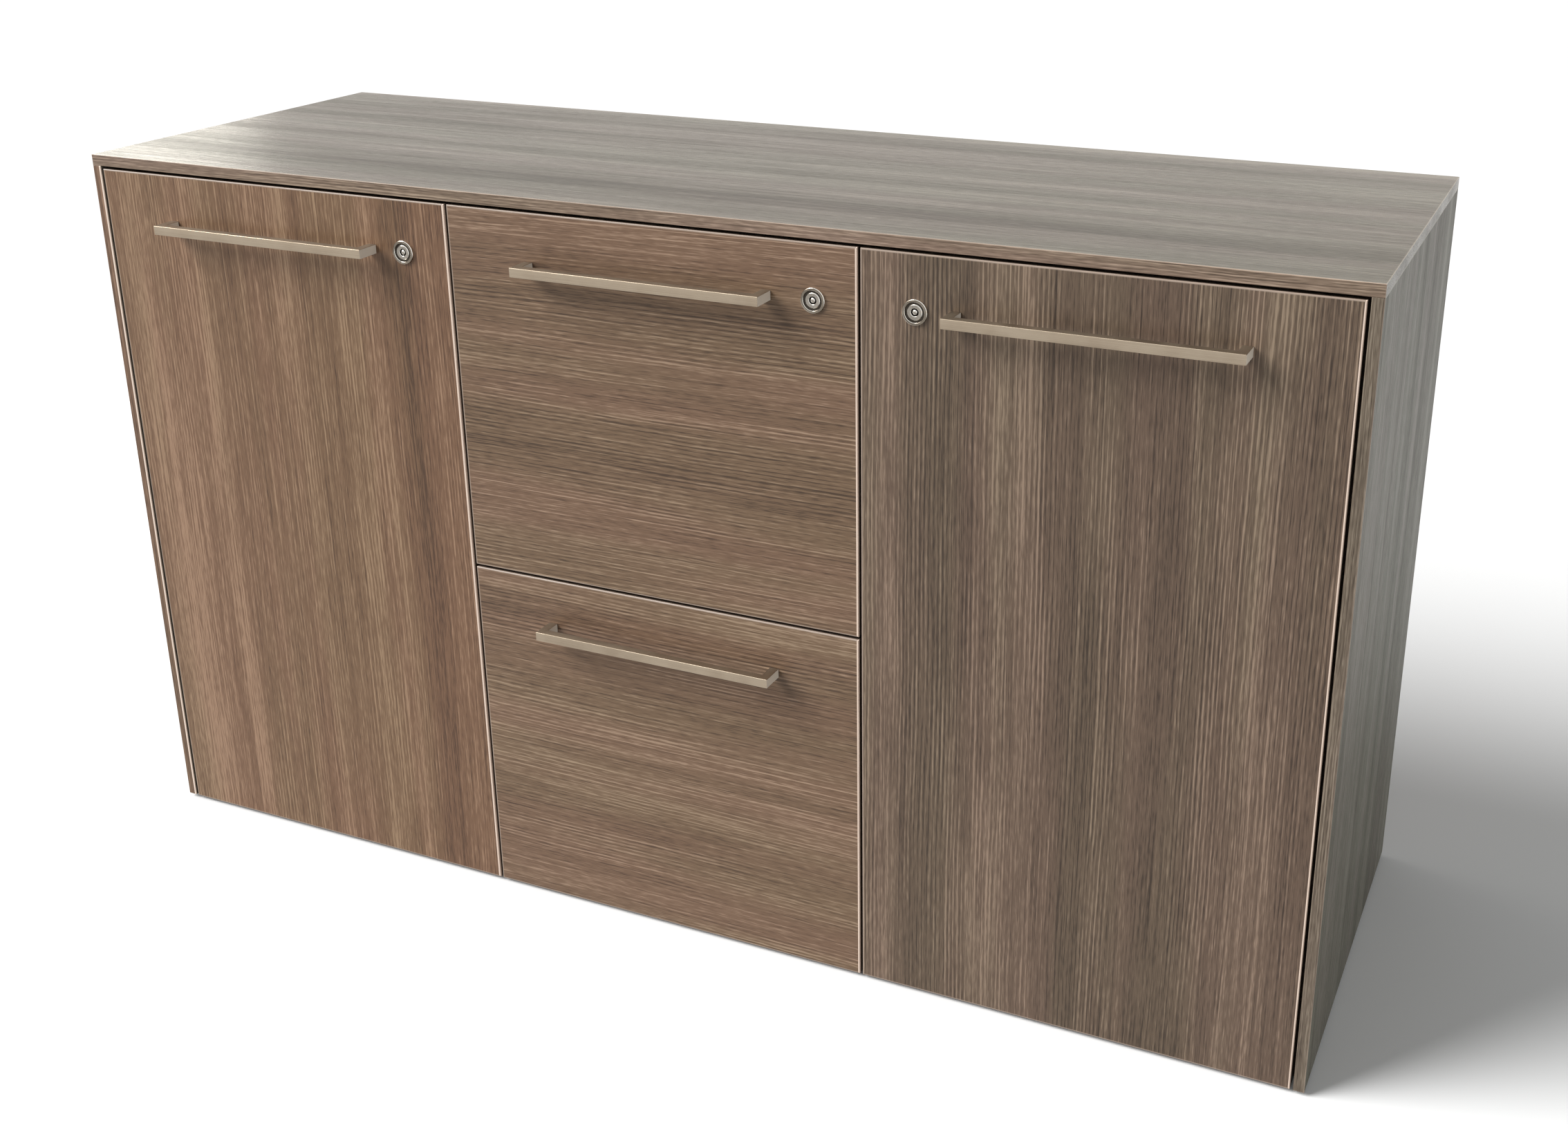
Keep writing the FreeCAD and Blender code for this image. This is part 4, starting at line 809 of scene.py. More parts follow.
@dataclass(frozen=True)
class ShellBand:
    """The shell's front bands: grain along the top's band and up the ends' bands.

    Attributes:
        grain: The laminate whose colours they take.
        right_shade_tone: What the right end's band keeps of those colours: darker and cooler,
            painted shade.
        left_tone: What the left end's band keeps of them.
        side_highlight: The pinkish highlight painted on the left band's inner strip and its
            faces across x.
        lit_strip: How far from the left band's inner side the painted highlight begins and is
            full.
        gap: Width of the gap between the left end's band and its door.
    """

    grain: GrainedLaminate
    right_shade_tone: Colour = (0.66, 0.70, 0.72)
    left_tone: Colour = (0.81, 0.69, 0.59)
    side_highlight: Colour = (0.80, 0.66, 0.55)
    lit_strip: tuple[float, float] = (2.4 * MM, 2.0 * MM)
    gap: float = 3.0 * MM

    def material(self, effects: Effects, node: str) -> Material:
        """Make the finish.

        Args:
            effects: The shared groups.
            node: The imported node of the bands.

        Returns:
            The material.
        """
        grain = self.grain
        skin = Skin("shell_edge_band", Specular_IOR_Level=grain.gloss)
        tree = skin.tree
        across, _, rise = tree.parts(skin.place)
        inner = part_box("left_door_edge_band")[0].x - self.gap
        left = tree.math("LESS_THAN", across, inner + self.gap / 2)
        above = tree.math("GREATER_THAN", rise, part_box("top_panel")[0].z)
        upright = grain.lay(skin, effects, GrainLie.UPRIGHT).outputs["Color"]
        # The right end's band is toned darker and cooler, as painted shade.
        toned = tree.vector("MULTIPLY", upright, tree.mix(left, self.right_shade_tone, self.left_tone))
        level = grain.lay(skin, effects, GrainLie.LEVEL)
        sides = tree.side_facing()
        # Painted highlight on the left band's inner strip and on its faces across x.
        beside = tree.spread(across, *(inner - reach for reach in self.lit_strip))
        side_highlight_mask = tree.times(tree.math("MAXIMUM", beside, sides),
                          tree.times(left, tree.math("SUBTRACT", 1.0, above)))
        # The arrises and the faces across x take the arris colour, a painted highlight.
        arris_highlight = tree.times(tree.math("MAXIMUM", skin.arrises(effects, node, grain.arris_width),
                                    sides), 0.9)
        colour = tree.mix(arris_highlight, tree.mix(above, toned, level.outputs["Color"]), grain.arris)
        rough = tree.spread(tree.noise(skin.place, 20.0, 3.0), 0.3, 0.7,
                            grain.roughness - 0.05, grain.roughness + 0.06)
        return skin.complete(tree.mix(side_highlight_mask, colour, self.side_highlight), rough,
                             level.outputs["Fibres"], 0.03 * MM)


class MetalWork(Enum):
    """How a metal's surface was worked: brushed along x, or turned and plated."""

    BRUSHED = "brushed"
    PLATED = "plated"


@dataclass(frozen=True)
class Metal:
    """A plated or brushed metal.

    Attributes:
        colour: Its colour.
        shade: Its colour in the lines and stains.
        roughness: Its roughness.
        work: How its surface was worked.
        depth: Depth of its lines.
        pale_ends: How much the faces across x show a paler, duller cut, partly a painted
            highlight.
        glint_paint: How much the slopes to the upper right and lower left get a painted
            highlight.
    """

    colour: Colour
    shade: Colour
    roughness: float
    work: MetalWork = MetalWork.PLATED
    depth: float = 0.006 * MM
    pale_ends: float = 0.0
    glint_paint: float = 0.0

    def material(self, effects: Effects, name: str) -> Material:
        """Make the finish.

        Args:
            effects: The shared groups.
            name: The material's name.

        Returns:
            The material.
        """
        skin = Skin(name, Metallic=1.0)
        tree, place = skin.tree, skin.place
        if self.work is MetalWork.BRUSHED:
            worked = tree.node("Group", {"node_tree": effects.lines}, Vector=place)
            height, patches = worked.outputs["Lines"], worked.outputs["Patches"]
        else:
            height = tree.noise(place, 900.0, 3.0, 0.6)
            patches = tree.noise(place, 60.0, 4.0, 0.6)
        share = tree.spread(tree.blend(height, patches, 0.5), 0.35, 0.68)
        colour = tree.mix(share, self.colour, self.shade)
        rough = tree.spread(tree.blend(patches, height, 0.3), 0.3, 0.7, self.roughness * 0.75,
                            self.roughness * 1.3)
        # Faces across x turn paler and duller: a cut finish and a painted highlight.
        if self.pale_ends:
            cut = tree.times(tree.side_facing(), self.pale_ends)
            colour = tree.mix(cut, colour, PALE_END_METAL)
            rough = tree.math("ADD", rough, tree.times(cut, 0.35))
            tree.feed(skin.shader.inputs["Metallic"],
                      tree.math("SUBTRACT", 1.0, tree.times(cut, 0.9)))
        # Slopes towards the upper right and lower left get a painted highlight.
        if self.glint_paint:
            leaning = tree.vector("DOT_PRODUCT", tree.node("TexCoord").outputs["Normal"],
                                  (0.71, 0.0, 0.71))
            slope = tree.spread(tree.math("ABSOLUTE", leaning), 0.22, 0.60, 0.0, self.glint_paint)
            colour = tree.mix(slope, colour, PAINTED_GLINT)
        # Recesses are painted dark, as shade, and made duller.
        recess_shade = tree.node("Attribute", {"attribute_name": "recess_shade"}).outputs["Fac"]
        rough = tree.math("ADD", rough, tree.times(recess_shade, 0.4), clamp=True)
        return skin.complete(tree.mix(recess_shade, colour, RECESS_SHADE_COLOUR), rough, height, self.depth)


@dataclass(frozen=True)
class Moulded:
    """Moulded plastic or baked paint: one colour, a fine skin and slightly uneven gloss.

    Attributes:
        colour: Its colour.
        roughness: Its roughness.
        relief: Depth of its texture.
        grain: Cells of the texture to the metre.
    """

    colour: Colour
    roughness: float
    relief: float = 0.03 * MM
    grain: float = 1500.0

    def material(self, name: str) -> Material:
        """Make the finish.

        Args:
            name: The material's name.

        Returns:
            The material.
        """
        skin = Skin(name)
        tree = skin.tree
        cloud = tree.noise(skin.place, 25.0, 4.0)
        paler = tuple(min(1.0, part * 1.5 + 0.01) for part in self.colour)
        colour = tree.mix(tree.spread(cloud, 0.35, 0.75, 0.0, 0.5), self.colour, paler)
        rough = tree.spread(cloud, 0.3, 0.7, self.roughness - 0.06, self.roughness + 0.06)
        return skin.complete(colour, rough, tree.noise(skin.place, self.grain, 2.0),
                             self.relief)


class Finishes:
    """Every finish of the credenza; metals, paint and plastic are made once and shared."""

    # The fronts' arris colour, a painted highlight.
    PINK = (0.37, 0.29, 0.23)
    warm = GrainedLaminate((0.066, 0.034, 0.019), (0.166, 0.093, 0.052), (0.33, 0.212, 0.132),
                           PINK, bands=0.48, lines=0.48, lit_strip=1.2 * MM)
    lying = GrainedLaminate((0.058, 0.034, 0.021), (0.168, 0.104, 0.064),
                            (0.34, 0.238, 0.162), PINK, bands=0.32, lines=0.46, pins=0.20,
                            lit_strip=0.8 * MM)
    # A darker copy of the left door's laminate: painted shade for the right door, further from
    # the light.
    right_door_shaded = GrainedLaminate((0.040, 0.026, 0.018), (0.122, 0.083, 0.057), (0.28, 0.204, 0.146),
                           PINK, bands=0.48, lines=0.44, pins=0.26, lit_strip=0.5 * MM)
    top = GrainedLaminate((0.055, 0.043, 0.028), (0.124, 0.101, 0.072), (0.230, 0.192, 0.140),
                          (0.42, 0.36, 0.28), roughness=0.30, gloss=0.16, bands=0.60,
                          lines=0.46, pins=0.12, arris_width=1.0 * MM)
    # A greyer, greener copy of the top's laminate: painted shade and greenish light on the ends.
    end = GrainedLaminate((0.048, 0.042, 0.031), (0.124, 0.113, 0.090), (0.219, 0.201, 0.162),
                          (0.36, 0.35, 0.29), roughness=0.45, gloss=0.10, bands=0.60,
                          pins=0.14, arris_width=1.0 * MM)
    inside = GrainedLaminate((0.100, 0.065, 0.044), (0.185, 0.128, 0.088),
                             (0.28, 0.205, 0.148), roughness=0.55, lines=0.4,
                             arris_width=0.5 * MM)
    wrapped = GrainedLaminate((0.28, 0.22, 0.16), (0.42, 0.35, 0.27), (0.52, 0.45, 0.36),
                              (0.60, 0.53, 0.44), roughness=0.5, bands=0.3, lines=0.24,
                              pins=0.05)
    shell = GrainedLaminate((0.075, 0.050, 0.035), (0.200, 0.142, 0.103), (0.38, 0.285, 0.215),
                            (0.55, 0.42, 0.33), gloss=0.25, bands=0.35, lines=0.55, pins=0.22,
                            pin_pitch=2.6 * MM)

    def __init__(self, effects: Effects) -> None:
        """Make the shared materials.

        Args:
            effects: The shared node groups.
        """
        self.effects = effects
        self.satin_nickel = Metal(
            (0.370, 0.305, 0.230), (0.275, 0.222, 0.164), 0.44, MetalWork.BRUSHED,
            depth=0.0004 * MM, pale_ends=1.0).material(effects, "satin_nickel")
        self.bright_nickel = Metal((0.66, 0.645, 0.61), (0.50, 0.485, 0.455), 0.17).material(
            effects, "bright_nickel")
        # The ring's dark brown-grey is a painted reflection of the wood around it.
        self.ring_nickel = Metal((0.22, 0.188, 0.150), (0.14, 0.118, 0.094), 0.16,
                                 glint_paint=1.0).material(effects, "ring_nickel")
        # The plug's grey, darker than nickel, is a painted dark reflection.
        self.lock_nickel = Metal((0.33, 0.300, 0.262), (0.22, 0.200, 0.172), 0.25,
                                 glint_paint=0.8).material(effects, "lock_nickel")
        self.zinc = Metal((0.62, 0.635, 0.65), (0.45, 0.46, 0.47), 0.33,
                          depth=0.01 * MM).material(effects, "bright_zinc")
        self.rail_paint = Moulded((0.018, 0.018, 0.019), 0.42, grain=700.0).material(
            "rail_paint")
        self.foot = Moulded((0.022, 0.022, 0.023), 0.55).material("foot_plastic")

    def board(self, finish: GrainedLaminate, node: str, lie: GrainLie, shift: Triple) -> None:
        """Dress one board in a grained finish, which says how its grain lies and is cut."""
        dress(node, finish.material(self.effects, node, lie, shift))

    def band(self, finish: EdgeBand | ShellBand, node: str) -> None:
        """Dress one node of edge bands."""
        dress(node, finish.material(self.effects, node))


# ---- small pieces -----------------------------------------------------------------------
@dataclass(frozen=True)
class BarPull:
    """A square bar pull whose legs are flush with its ends.

    Attributes:
        body: The body that it rides on, whose name begins its node's name.
        bar: Side of the square section.
        round_over: Radius of the section's corners.
    """

    body: str
    bar: float = 9.0 * MM
    round_over: float = 0.5 * MM

    def surface(self, low: Triple, high: Triple) -> Surface:
        """Carry a rounded square along the pull's middle line, mitred at both corners.

        At each station the section stands on the path's point plus its first coordinate
        times the mitre direction, which is lengthened at the corners, plus its second
        coordinate upwards.

        Args:
            low: Lowest corner of the pull's box.
            high: Its highest corner.

        Returns:
            The closed surface in place.
        """
        half = self.bar / 2
        left, right = low.x + half, high.x - half
        path = np.array([[left, high.y], [left, low.y + half], [right, low.y + half],
                         [right, high.y]])
        mitre = np.array([[-1.0, 0.0], [-1.0, -1.0], [1.0, -1.0], [1.0, 0.0]])
        section = rounded_square(self.bar, self.round_over)
        flat = path[:, None, :] + section[None, :, :1] * mitre[:, None, :]
        rise = np.broadcast_to(section[None, :, 1:] + (low.z + high.z) / 2,
                               (4, len(section), 1))
        return grid(np.concatenate([flat, rise], -1), caps=True)

    def build(self, finishes: Finishes) -> None:
        """Make the pull and show it for its node."""
        node = f"{self.body}_handle"
        make_piece(f"{node}_pull", self.surface(*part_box(node)), self.body,
                   finishes.satin_nickel, node, crease=40.0, bevel=0.3 * MM)


@dataclass(frozen=True)
class Screw:
    """A pan-head screw with a cross recess; heights are from the head's seat.

    Attributes:
        head_radius: Radius of the head.
        head_height: Height of the head.
        shank_radius: Radius of the shank.
        length: Length under the head.
        recess: Half length of the cross.
        crown: Share of the head's height that it loses from its middle to its rim.
        arm: Half width of the cross's arms, as a share of the head's radius.
        sink: Depth of the cross, as a share of the head's height.
        tip: Radius of the shank's blunt tip, as a share of the shank's.
        rings: Rows of points across the head.
        sides: Points around the screw.
    """

    head_radius: float
    head_height: float
    shank_radius: float
    length: float
    recess: float = 2.0 * MM
    crown: float = 0.45
    arm: float = 0.17
    sink: float = 0.55
    tip: float = 0.8
    rings: int = 9
    sides: int = 48

    def surface(self) -> Surface:
        """Work out the screw: a turned profile whose top is sunk along a cross.

        The head's height falls with the cube of the radius, and within the cross, where x
        or y is less than an arm's half width, the head's top sinks.

        Returns:
            The surface, its seat at height 0.
        """
        share = np.linspace(1.0, 0.0, self.rings)
        heights = self.head_height * (1.0 - self.crown * share ** 3)
        profile = [(0.0, -self.length), (self.shank_radius * self.tip, -self.length),
                   (self.shank_radius, -self.length + self.shank_radius),
                   (self.shank_radius, 0.0), (self.head_radius, 0.0)]
        profile += zip((self.head_radius * share).tolist(), heights.tolist())
        made = turned(profile, self.sides)
        x, y, z = made.points.T
        cross = np.minimum(abs(x), abs(y)) < self.head_radius * self.arm
        within = cross & (np.hypot(x, y) < self.recess) & (z > self.head_height / 2)
        made.points[:, 2] = z - np.where(within, self.head_height * self.sink, 0.0)
        return made

    def at(self, seats: list[Triple]) -> list[Surface]:
        """Drive one screw from behind into each seat."""
        return [self.surface().placed(Turn.REARWARD.matrix, seat) for seat in seats]


HANDLE_SCREW = Screw(4.0 * MM, 2.4 * MM, 1.95 * MM, 31.0 * MM)
BOX_SCREW = Screw(4.0 * MM, 2.4 * MM, 1.95 * MM, 24.0 * MM)
BACK_SCREW = Screw(4.0 * MM, 2.4 * MM, 1.95 * MM, 28.0 * MM)
CUP_SCREW = Screw(3.5 * MM, 1.2 * MM, 1.7 * MM, 13.0 * MM, 1.7 * MM)
CAM_SCREW = Screw(5.5 * MM, 2.6 * MM, 3.0 * MM, 2.0 * MM, 2.8 * MM)


@dataclass(frozen=True)
class KeyLock:
    """A round key lock: trim ring, threaded housing, nut, plug with a keyway, and cam.

    Heights are from the front's face, towards the room.

    Attributes:
        front_body: The body that carries the housing, whose name begins the nodes' names.
        barrel_body: The body of the plug and cam.
        cam_side: 1 where the cam points to +X at rest, else -1.
        ring: Radius of the trim ring.
        proud: Height of the trim ring.
        bead: Radius of the ring's rounded rim.
        lip: Radius of the rounding between the ring's top and the groove.
        groove: Outer radius of the groove, into which shade is painted.
        groove_floor: Height of the groove's floor.
        draft: How far the groove's wall leans in.
        thread: Radius of the threaded housing.
        pitch: Pitch of its thread.
        tooth: Depth of its thread.
        plug: Radius of the plug.
        play: Gap between the plug and its bore.
        sunk: How far the plug's face lies below the ring, and the cam behind the housing.
        bevel: Bevel round the plug's face.
        keyway: Radius of the round keyway.
        mouth: Bevel of the keyway's mouth.
        post: Radius of the post in it.
        keyway_depth: Depth of the keyway.
        tail: Length of the housing behind the face.
        cam_thickness: Thickness of the cam.
        cam_width: Width of the cam.
        nut_flats: Nut's size across flats.
        nut_thickness: Nut's thickness.
        nut_chamfer: Nut's chamfer.
        front_thickness: Thickness of the front.
        sides: Points around the housing and the nut.
        plug_sides: Points around the plug.
    """

    front_body: str
    barrel_body: str
    cam_side: int
    ring: float = 11.5 * MM
    proud: float = 2.2 * MM
    bead: float = 0.8 * MM
    lip: float = 0.5 * MM
    groove: float = 9.0 * MM
    groove_floor: float = 0.9 * MM
    draft: float = 0.1 * MM
    thread: float = 9.3 * MM
    pitch: float = 1.5 * MM
    tooth: float = 0.35 * MM
    plug: float = 7.0 * MM
    play: float = 0.05 * MM
    sunk: float = 0.3 * MM
    bevel: float = 0.5 * MM
    keyway: float = 3.5 * MM
    mouth: float = 0.3 * MM
    post: float = 2.2 * MM
    keyway_depth: float = 6.0 * MM
    tail: float = 24.0 * MM
    cam_thickness: float = 2.5 * MM
    cam_width: float = 14.0 * MM
    nut_flats: float = 23.0 * MM
    nut_thickness: float = 4.5 * MM
    nut_chamfer: float = 0.6 * MM
    front_thickness: float = 18.0 * MM
    sides: int = 72
    plug_sides: int = 64

    def threaded(self, radii: np.ndarray, angles: np.ndarray,
                 heights: np.ndarray) -> np.ndarray:
        """Cut a helix of fine teeth into the part of the housing behind the face.

        The radius falls by a tooth whose height is a saw wave of the height over the pitch
        less the angle's share of a turn.

        Args:
            radii: Radii without the thread.
            angles: Angles about the axis.
            heights: Heights along it.

        Returns:
            The radii with the thread.
        """
        wave = abs(((heights / self.pitch - angles / (2 * np.pi)) % 1.0) * 2 - 1)
        outside = (heights < -TOUCH) & (radii > self.thread - TOUCH)
        return np.where(outside, radii - self.tooth * wave, radii)

    def hexagon(self, radii: np.ndarray, angles: np.ndarray, _: np.ndarray) -> np.ndarray:
        """Limit radii to the flats' distance over the cosine of the angle to the flat."""
        to_flat = (angles + np.pi / 3) % (np.pi / 3) - np.pi / 6
        return np.minimum(radii, self.nut_flats / 2 / np.cos(to_flat))

    def housing(self) -> Surface:
        """Turn the trim ring and the threaded housing.

        The rim and the lip are quarter circles, and shade is painted into the groove
        between them and the bore.

        Returns:
            The surface about the lock's own axis.
        """
        bore = self.plug + self.play
        shaft = [(self.thread, height)
                 for height in np.arange(-self.tail, 0.0, self.pitch / 4).tolist()]
        rim = arc((self.ring - self.bead, self.proud - self.bead), self.bead, 0, 90)
        inner = arc((self.groove + self.lip, self.proud - self.lip), self.lip, 90, 180)
        # The groove's wall and floor get painted shade.
        floor, dim, dark = self.groove_floor, 0.5, 0.8
        profile = [(bore, -self.tail), *shaft, (self.thread, 0.0), (self.ring, 0.0),
                   *rim.tolist(), *inner.tolist(), (self.groove, floor + self.lip, dim),
                   (self.groove - self.draft, floor, dark), (bore, floor, dark),
                   (bore, -self.tail)]
        return turned(profile, self.sides, self.threaded)

    def nut(self) -> Surface:
        """Turn the hexagon nut.

        Returns:
            The surface about the lock's own axis.
        """
        high = -self.front_thickness
        low = high - self.nut_thickness
        corner, chamfer = self.nut_flats / math.sqrt(3), self.nut_chamfer
        profile = [(self.thread, low), (corner - chamfer * 2, low), (corner, low + chamfer),
                   (corner, high - chamfer), (corner - chamfer * 2, high), (self.thread, high),
                   (self.thread, low)]
        return turned(profile, self.sides, self.hexagon)

    def plug_surface(self) -> Surface:
        """Turn the plug: a domed post in a round keyway, a dished face and a bevelled rim.

        The post's crown falls and the dish rises with the square of the way from its
        middle; the keyway goes straight down.

        Returns:
            The surface about the lock's own axis.
        """
        top = self.proud - self.sunk
        crown, dip, step, rim = 0.9 * MM, 0.35 * MM, 0.8 * MM, 0.6 * MM
        share = np.linspace(0.0, 1.0, 9)
        post = np.stack([self.post * share, top - crown * share ** 2], -1).tolist()
        first, last = self.keyway + self.mouth, self.plug - rim
        dish = np.stack([first + (last - first) * share, top - dip * (1 - share ** 2)],
                        -1).tolist()
        low, floor = -self.tail - self.sunk, top - self.keyway_depth
        mouth = dish[0][1] - self.mouth
        # The keyway's wall and floor get full painted shade.
        profile = [(0.0, low), (self.plug, low), (self.plug, top - self.bevel),
                   (self.plug - self.bevel, top), *dish[::-1], (self.keyway, mouth),
                   (self.keyway, mouth - step, 1.0), (self.keyway, floor, 1.0),
                   (self.post, floor, 1.0), (self.post, top - 2 * crown, 1.0), *post[::-1]]
        return turned(profile, self.plug_sides)

    def cam(self, reach: float) -> Surface:
        """Raise the cam's outline, wide and round at the plug, narrower at its tip.

        The outline is a half circle about the plug, then a straight taper to a tip with
        round corners.

        Args:
            reach: Distance from the lock's middle to the tip.

        Returns:
            The surface about the lock's own axis, pointing to +X.
        """
        half, corner, taper, arris = self.cam_width / 2, 2.0 * MM, 0.8, 0.25 * MM
        lower = arc((reach - corner, corner - half * taper), corner, -90, 0)
        outline = np.concatenate([arc((0.0, 0.0), half, 90, 270, 25), lower,
                                  lower[::-1] * (1, -1)])
        back = -self.tail - self.sunk
        return plate(outline, back - self.cam_thickness, back, arris)

    def build(self, finishes: Finishes) -> None:
        """Make the housing and the barrel and show them for their nodes.

        Args:
            finishes: The finishes.
        """
        housing_node = f"{self.front_body}_lock_housing"
        barrel_node = f"{self.front_body}_lock_barrel"
        low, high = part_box(housing_node)
        centre = ((low.x + high.x) / 2, low.y + self.proud, (low.z + high.z) / 2)
        low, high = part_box(barrel_node)
        reach = high.x - centre[0] if self.cam_side > 0 else centre[0] - low.x
        forward = Turn.FORWARD.matrix
        housing = joined([self.housing(), self.nut()]).placed(forward, centre)
        make_piece(f"{housing_node}_turned", housing, self.front_body, finishes.ring_nickel,
                   housing_node, crease=28.0)
        back = -self.tail - self.sunk - self.cam_thickness
        head = CAM_SCREW.surface().placed(np.diag([1.0, -1.0, -1.0]), (0.0, 0.0, back))
        barrel = joined([self.plug_surface(), self.cam(reach), head])
        mirror = np.diag([self.cam_side, 1.0, 1.0])
        make_piece(f"{barrel_node}_turned", barrel.placed(forward @ mirror, centre),
                   self.barrel_body, finishes.lock_nickel, barrel_node, crease=30.0)


# ---- sub-assemblies ---------------------------------------------------------------------
@dataclass(frozen=True)
class Front:
    """What doors and drawers share: a banded board with a bar pull and its screws.

    Attributes:
        body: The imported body, whose name begins the names of its nodes.
        board: What its board is called in them.
        shift: Where in the pattern the board is cut.
    """

    body: str
    board: str
    shift: Triple

    def dress_front(self, finishes: Finishes, finish: GrainedLaminate, lie: GrainLie) -> None:
        """Dress the board and its band, and make the pull.

        Args:
            finishes: The finishes.
            finish: The board's laminate.
            lie: How its grain lies.
        """
        finishes.board(finish, f"{self.body}_{self.board}", lie, self.shift)
        finishes.band(EdgeBand(), f"{self.body}_edge_band")
        BarPull(self.body).build(finishes)

    def drive_screws(self, finishes: Finishes, others: list[Surface]) -> None:
        """Make the pull's two screws, behind its legs, and the body's other screws.

        Args:
            finishes: The finishes.
            others: The other screws, in place.
        """
        low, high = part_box(f"{self.body}_handle")
        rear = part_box(f"{self.body}_{self.board}")[1].y
        leg, level = BarPull.bar / 2, (low.z + high.z) / 2
        screws = HANDLE_SCREW.at([(low.x + leg, rear, level), (high.x - leg, rear, level)])
        make_piece(f"{self.body}_cross_screws", joined(screws + others), self.body,
                   finishes.zinc, f"{self.body}_screws", crease=40.0)


@dataclass(frozen=True)
class Door(Front):
    """A hinged door with its pull, its lock and its two concealed hinges.

    Attributes:
        side: left or right.
        sign: -1 for the left door and 1 for the right.
        band: Thickness of the edge band.
        cup_setback: Hinge cups' middles from the door's edge.
        cup_end: Hinge cups' middles from the ends of their node's box.
        screw_step: A cup's screws above and below its middle.
        screw_inset: A cup's screws further in than its middle.
    """

    side: str = "left"
    sign: int = -1
    band: float = 1.0 * MM
    cup_setback: float = 21.5 * MM
    cup_end: float = 31.0 * MM
    screw_step: float = 24.0 * MM
    screw_inset: float = 6.0 * MM

    def cup_seats(self) -> list[Triple]:
        """Find the seats of the hinge cups' screws.

        Returns:
            The seats.
        """
        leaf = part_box(f"{self.body}_leaf")
        low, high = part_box(f"{self.body}_hinge_cups")
        edge = leaf[self.sign > 0].x + self.sign * self.band
        across = edge - self.sign * (self.cup_setback + self.screw_inset)
        return [(across, high.y, level + step)
                for level in (low.z + self.cup_end, high.z - self.cup_end)
                for step in (-self.screw_step, self.screw_step)]

    def build(self, finishes: Finishes) -> None:
        """Dress the leaf and its hardware, and make the pieces that are worked out anew.

        Args:
            finishes: The finishes.
        """
        self.dress_front(finishes, finishes.warm if self.sign < 0 else finishes.right_door_shaded,
                         GrainLie.UPRIGHT)
        KeyLock(self.body, f"{self.side}_lock", self.sign).build(finishes)
        for piece in ("hinge_cups", "outer_links", "inner_links"):
            dress(f"{self.body}_{piece}", finishes.bright_nickel)
        self.drive_screws(finishes, CUP_SCREW.at(self.cup_seats()))


@dataclass(frozen=True)
class Drawer(Front):
    """A file drawer: front, pull, box, hanging rails and its telescopic slides.

    Attributes:
        level: upper or lower.
        locked: Whether its front carries a lock.
        wall: Thickness of the box's walls.
        screw_inset: The front's screws from the box's sides, inside.
        screw_rise: The front's screws from the box's lower and upper edges.
    """

    level: str = "upper"
    locked: bool = True
    wall: float = 12.0 * MM
    screw_inset: float = 45.0 * MM
    screw_rise: float = 50.0 * MM

    def box_seats(self) -> list[Triple]:
        """Find the seats of the screws that hold the front, inside the box.

        Returns:
            The seats.
        """
        low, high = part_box(f"{self.body}_walls")
        inset = self.wall + self.screw_inset
        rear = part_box(f"{self.body}_{self.board}")[1].y + self.wall
        return [(across, rear, rise) for across in (low.x + inset, high.x - inset)
                for rise in (low.z + self.screw_rise, high.z - self.screw_rise)]

    def build(self, finishes: Finishes) -> None:
        """Dress the drawer and make the pieces that are worked out anew.

        Args:
            finishes: The finishes.
        """
        self.dress_front(finishes, finishes.lying, GrainLie.LEVEL)
        if self.locked:
            KeyLock(self.body, "drawer_lock", -1).build(finishes)
        for piece in ("walls", "bottom"):
            finishes.board(finishes.wrapped, f"{self.body}_{piece}", GrainLie.LEVEL,
                           self.shift)
        dress(f"{self.body}_file_rails", finishes.rail_paint)
        dress(f"{self.body}_channels", finishes.zinc)
        dress(f"{self.level}_slide_middles", finishes.zinc)
        self.drive_screws(finishes, BOX_SCREW.at(self.box_seats()))


@dataclass(frozen=True)
class Shell:
    """The slim top and ends, their edge bands and the case inside them.

    Attributes:
        back_screw_inset: The back panel's screws from its lower and upper edges.
    """

    back_screw_inset: float = 70.0 * MM

    def build(self, finishes: Finishes) -> None:
        """Dress the shell's and the case's boards and their hardware.

        Args:
            finishes: The finishes.
        """
        finishes.board(finishes.top, "top_panel", GrainLie.LEVEL, (0.3, 0.8, 0.2))
        finishes.board(finishes.end, "end_panels", GrainLie.UPRIGHT, (0.1, 1.7, 0.4))
        finishes.band(ShellBand(finishes.shell), "shell_edge_bands")
        for number, node in enumerate(("left_gable", "right_gable", "left_partition",
                                       "right_partition")):
            finishes.board(finishes.inside, node, GrainLie.UPRIGHT, (0.5 * number, 0.3, 2.1))
        for node in ("bottom_panel", "stretchers", "shelves", "back_panel"):
            finishes.board(finishes.inside, node, GrainLie.LEVEL, (0.7, 1.3, 0.9))
        for node in ("lock_strikes", "cabinet_channels", "glide_inserts"):
            dress(node, finishes.zinc)
        for node in ("hinge_arms", "hinge_plates", "shelf_pins"):
            dress(node, finishes.bright_nickel)
        for corner in ("front_left", "front_right", "rear_left", "rear_right"):
            dress(f"{corner}_glide", finishes.foot)
        self.build_back_screws(finishes)

    def build_back_screws(self, finishes: Finishes) -> None:
        """Make the back panel's cross-head screws on the lines of the uprights.

        Args:
            finishes: The finishes.
        """
        low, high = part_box("back_panel")
        columns = [sum(corner.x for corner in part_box(node)) / 2 for node in
                   ("left_gable", "left_partition", "right_partition", "right_gable")]
        rows = (low.z + self.back_screw_inset, (low.z + high.z) / 2,
                high.z - self.back_screw_inset)
        screws = BACK_SCREW.at([(x, high.y, z) for x in columns for z in rows])
        make_piece("back_cross_screws", joined(screws), "case", finishes.zinc,
                   "back_panel_screws", crease=40.0)


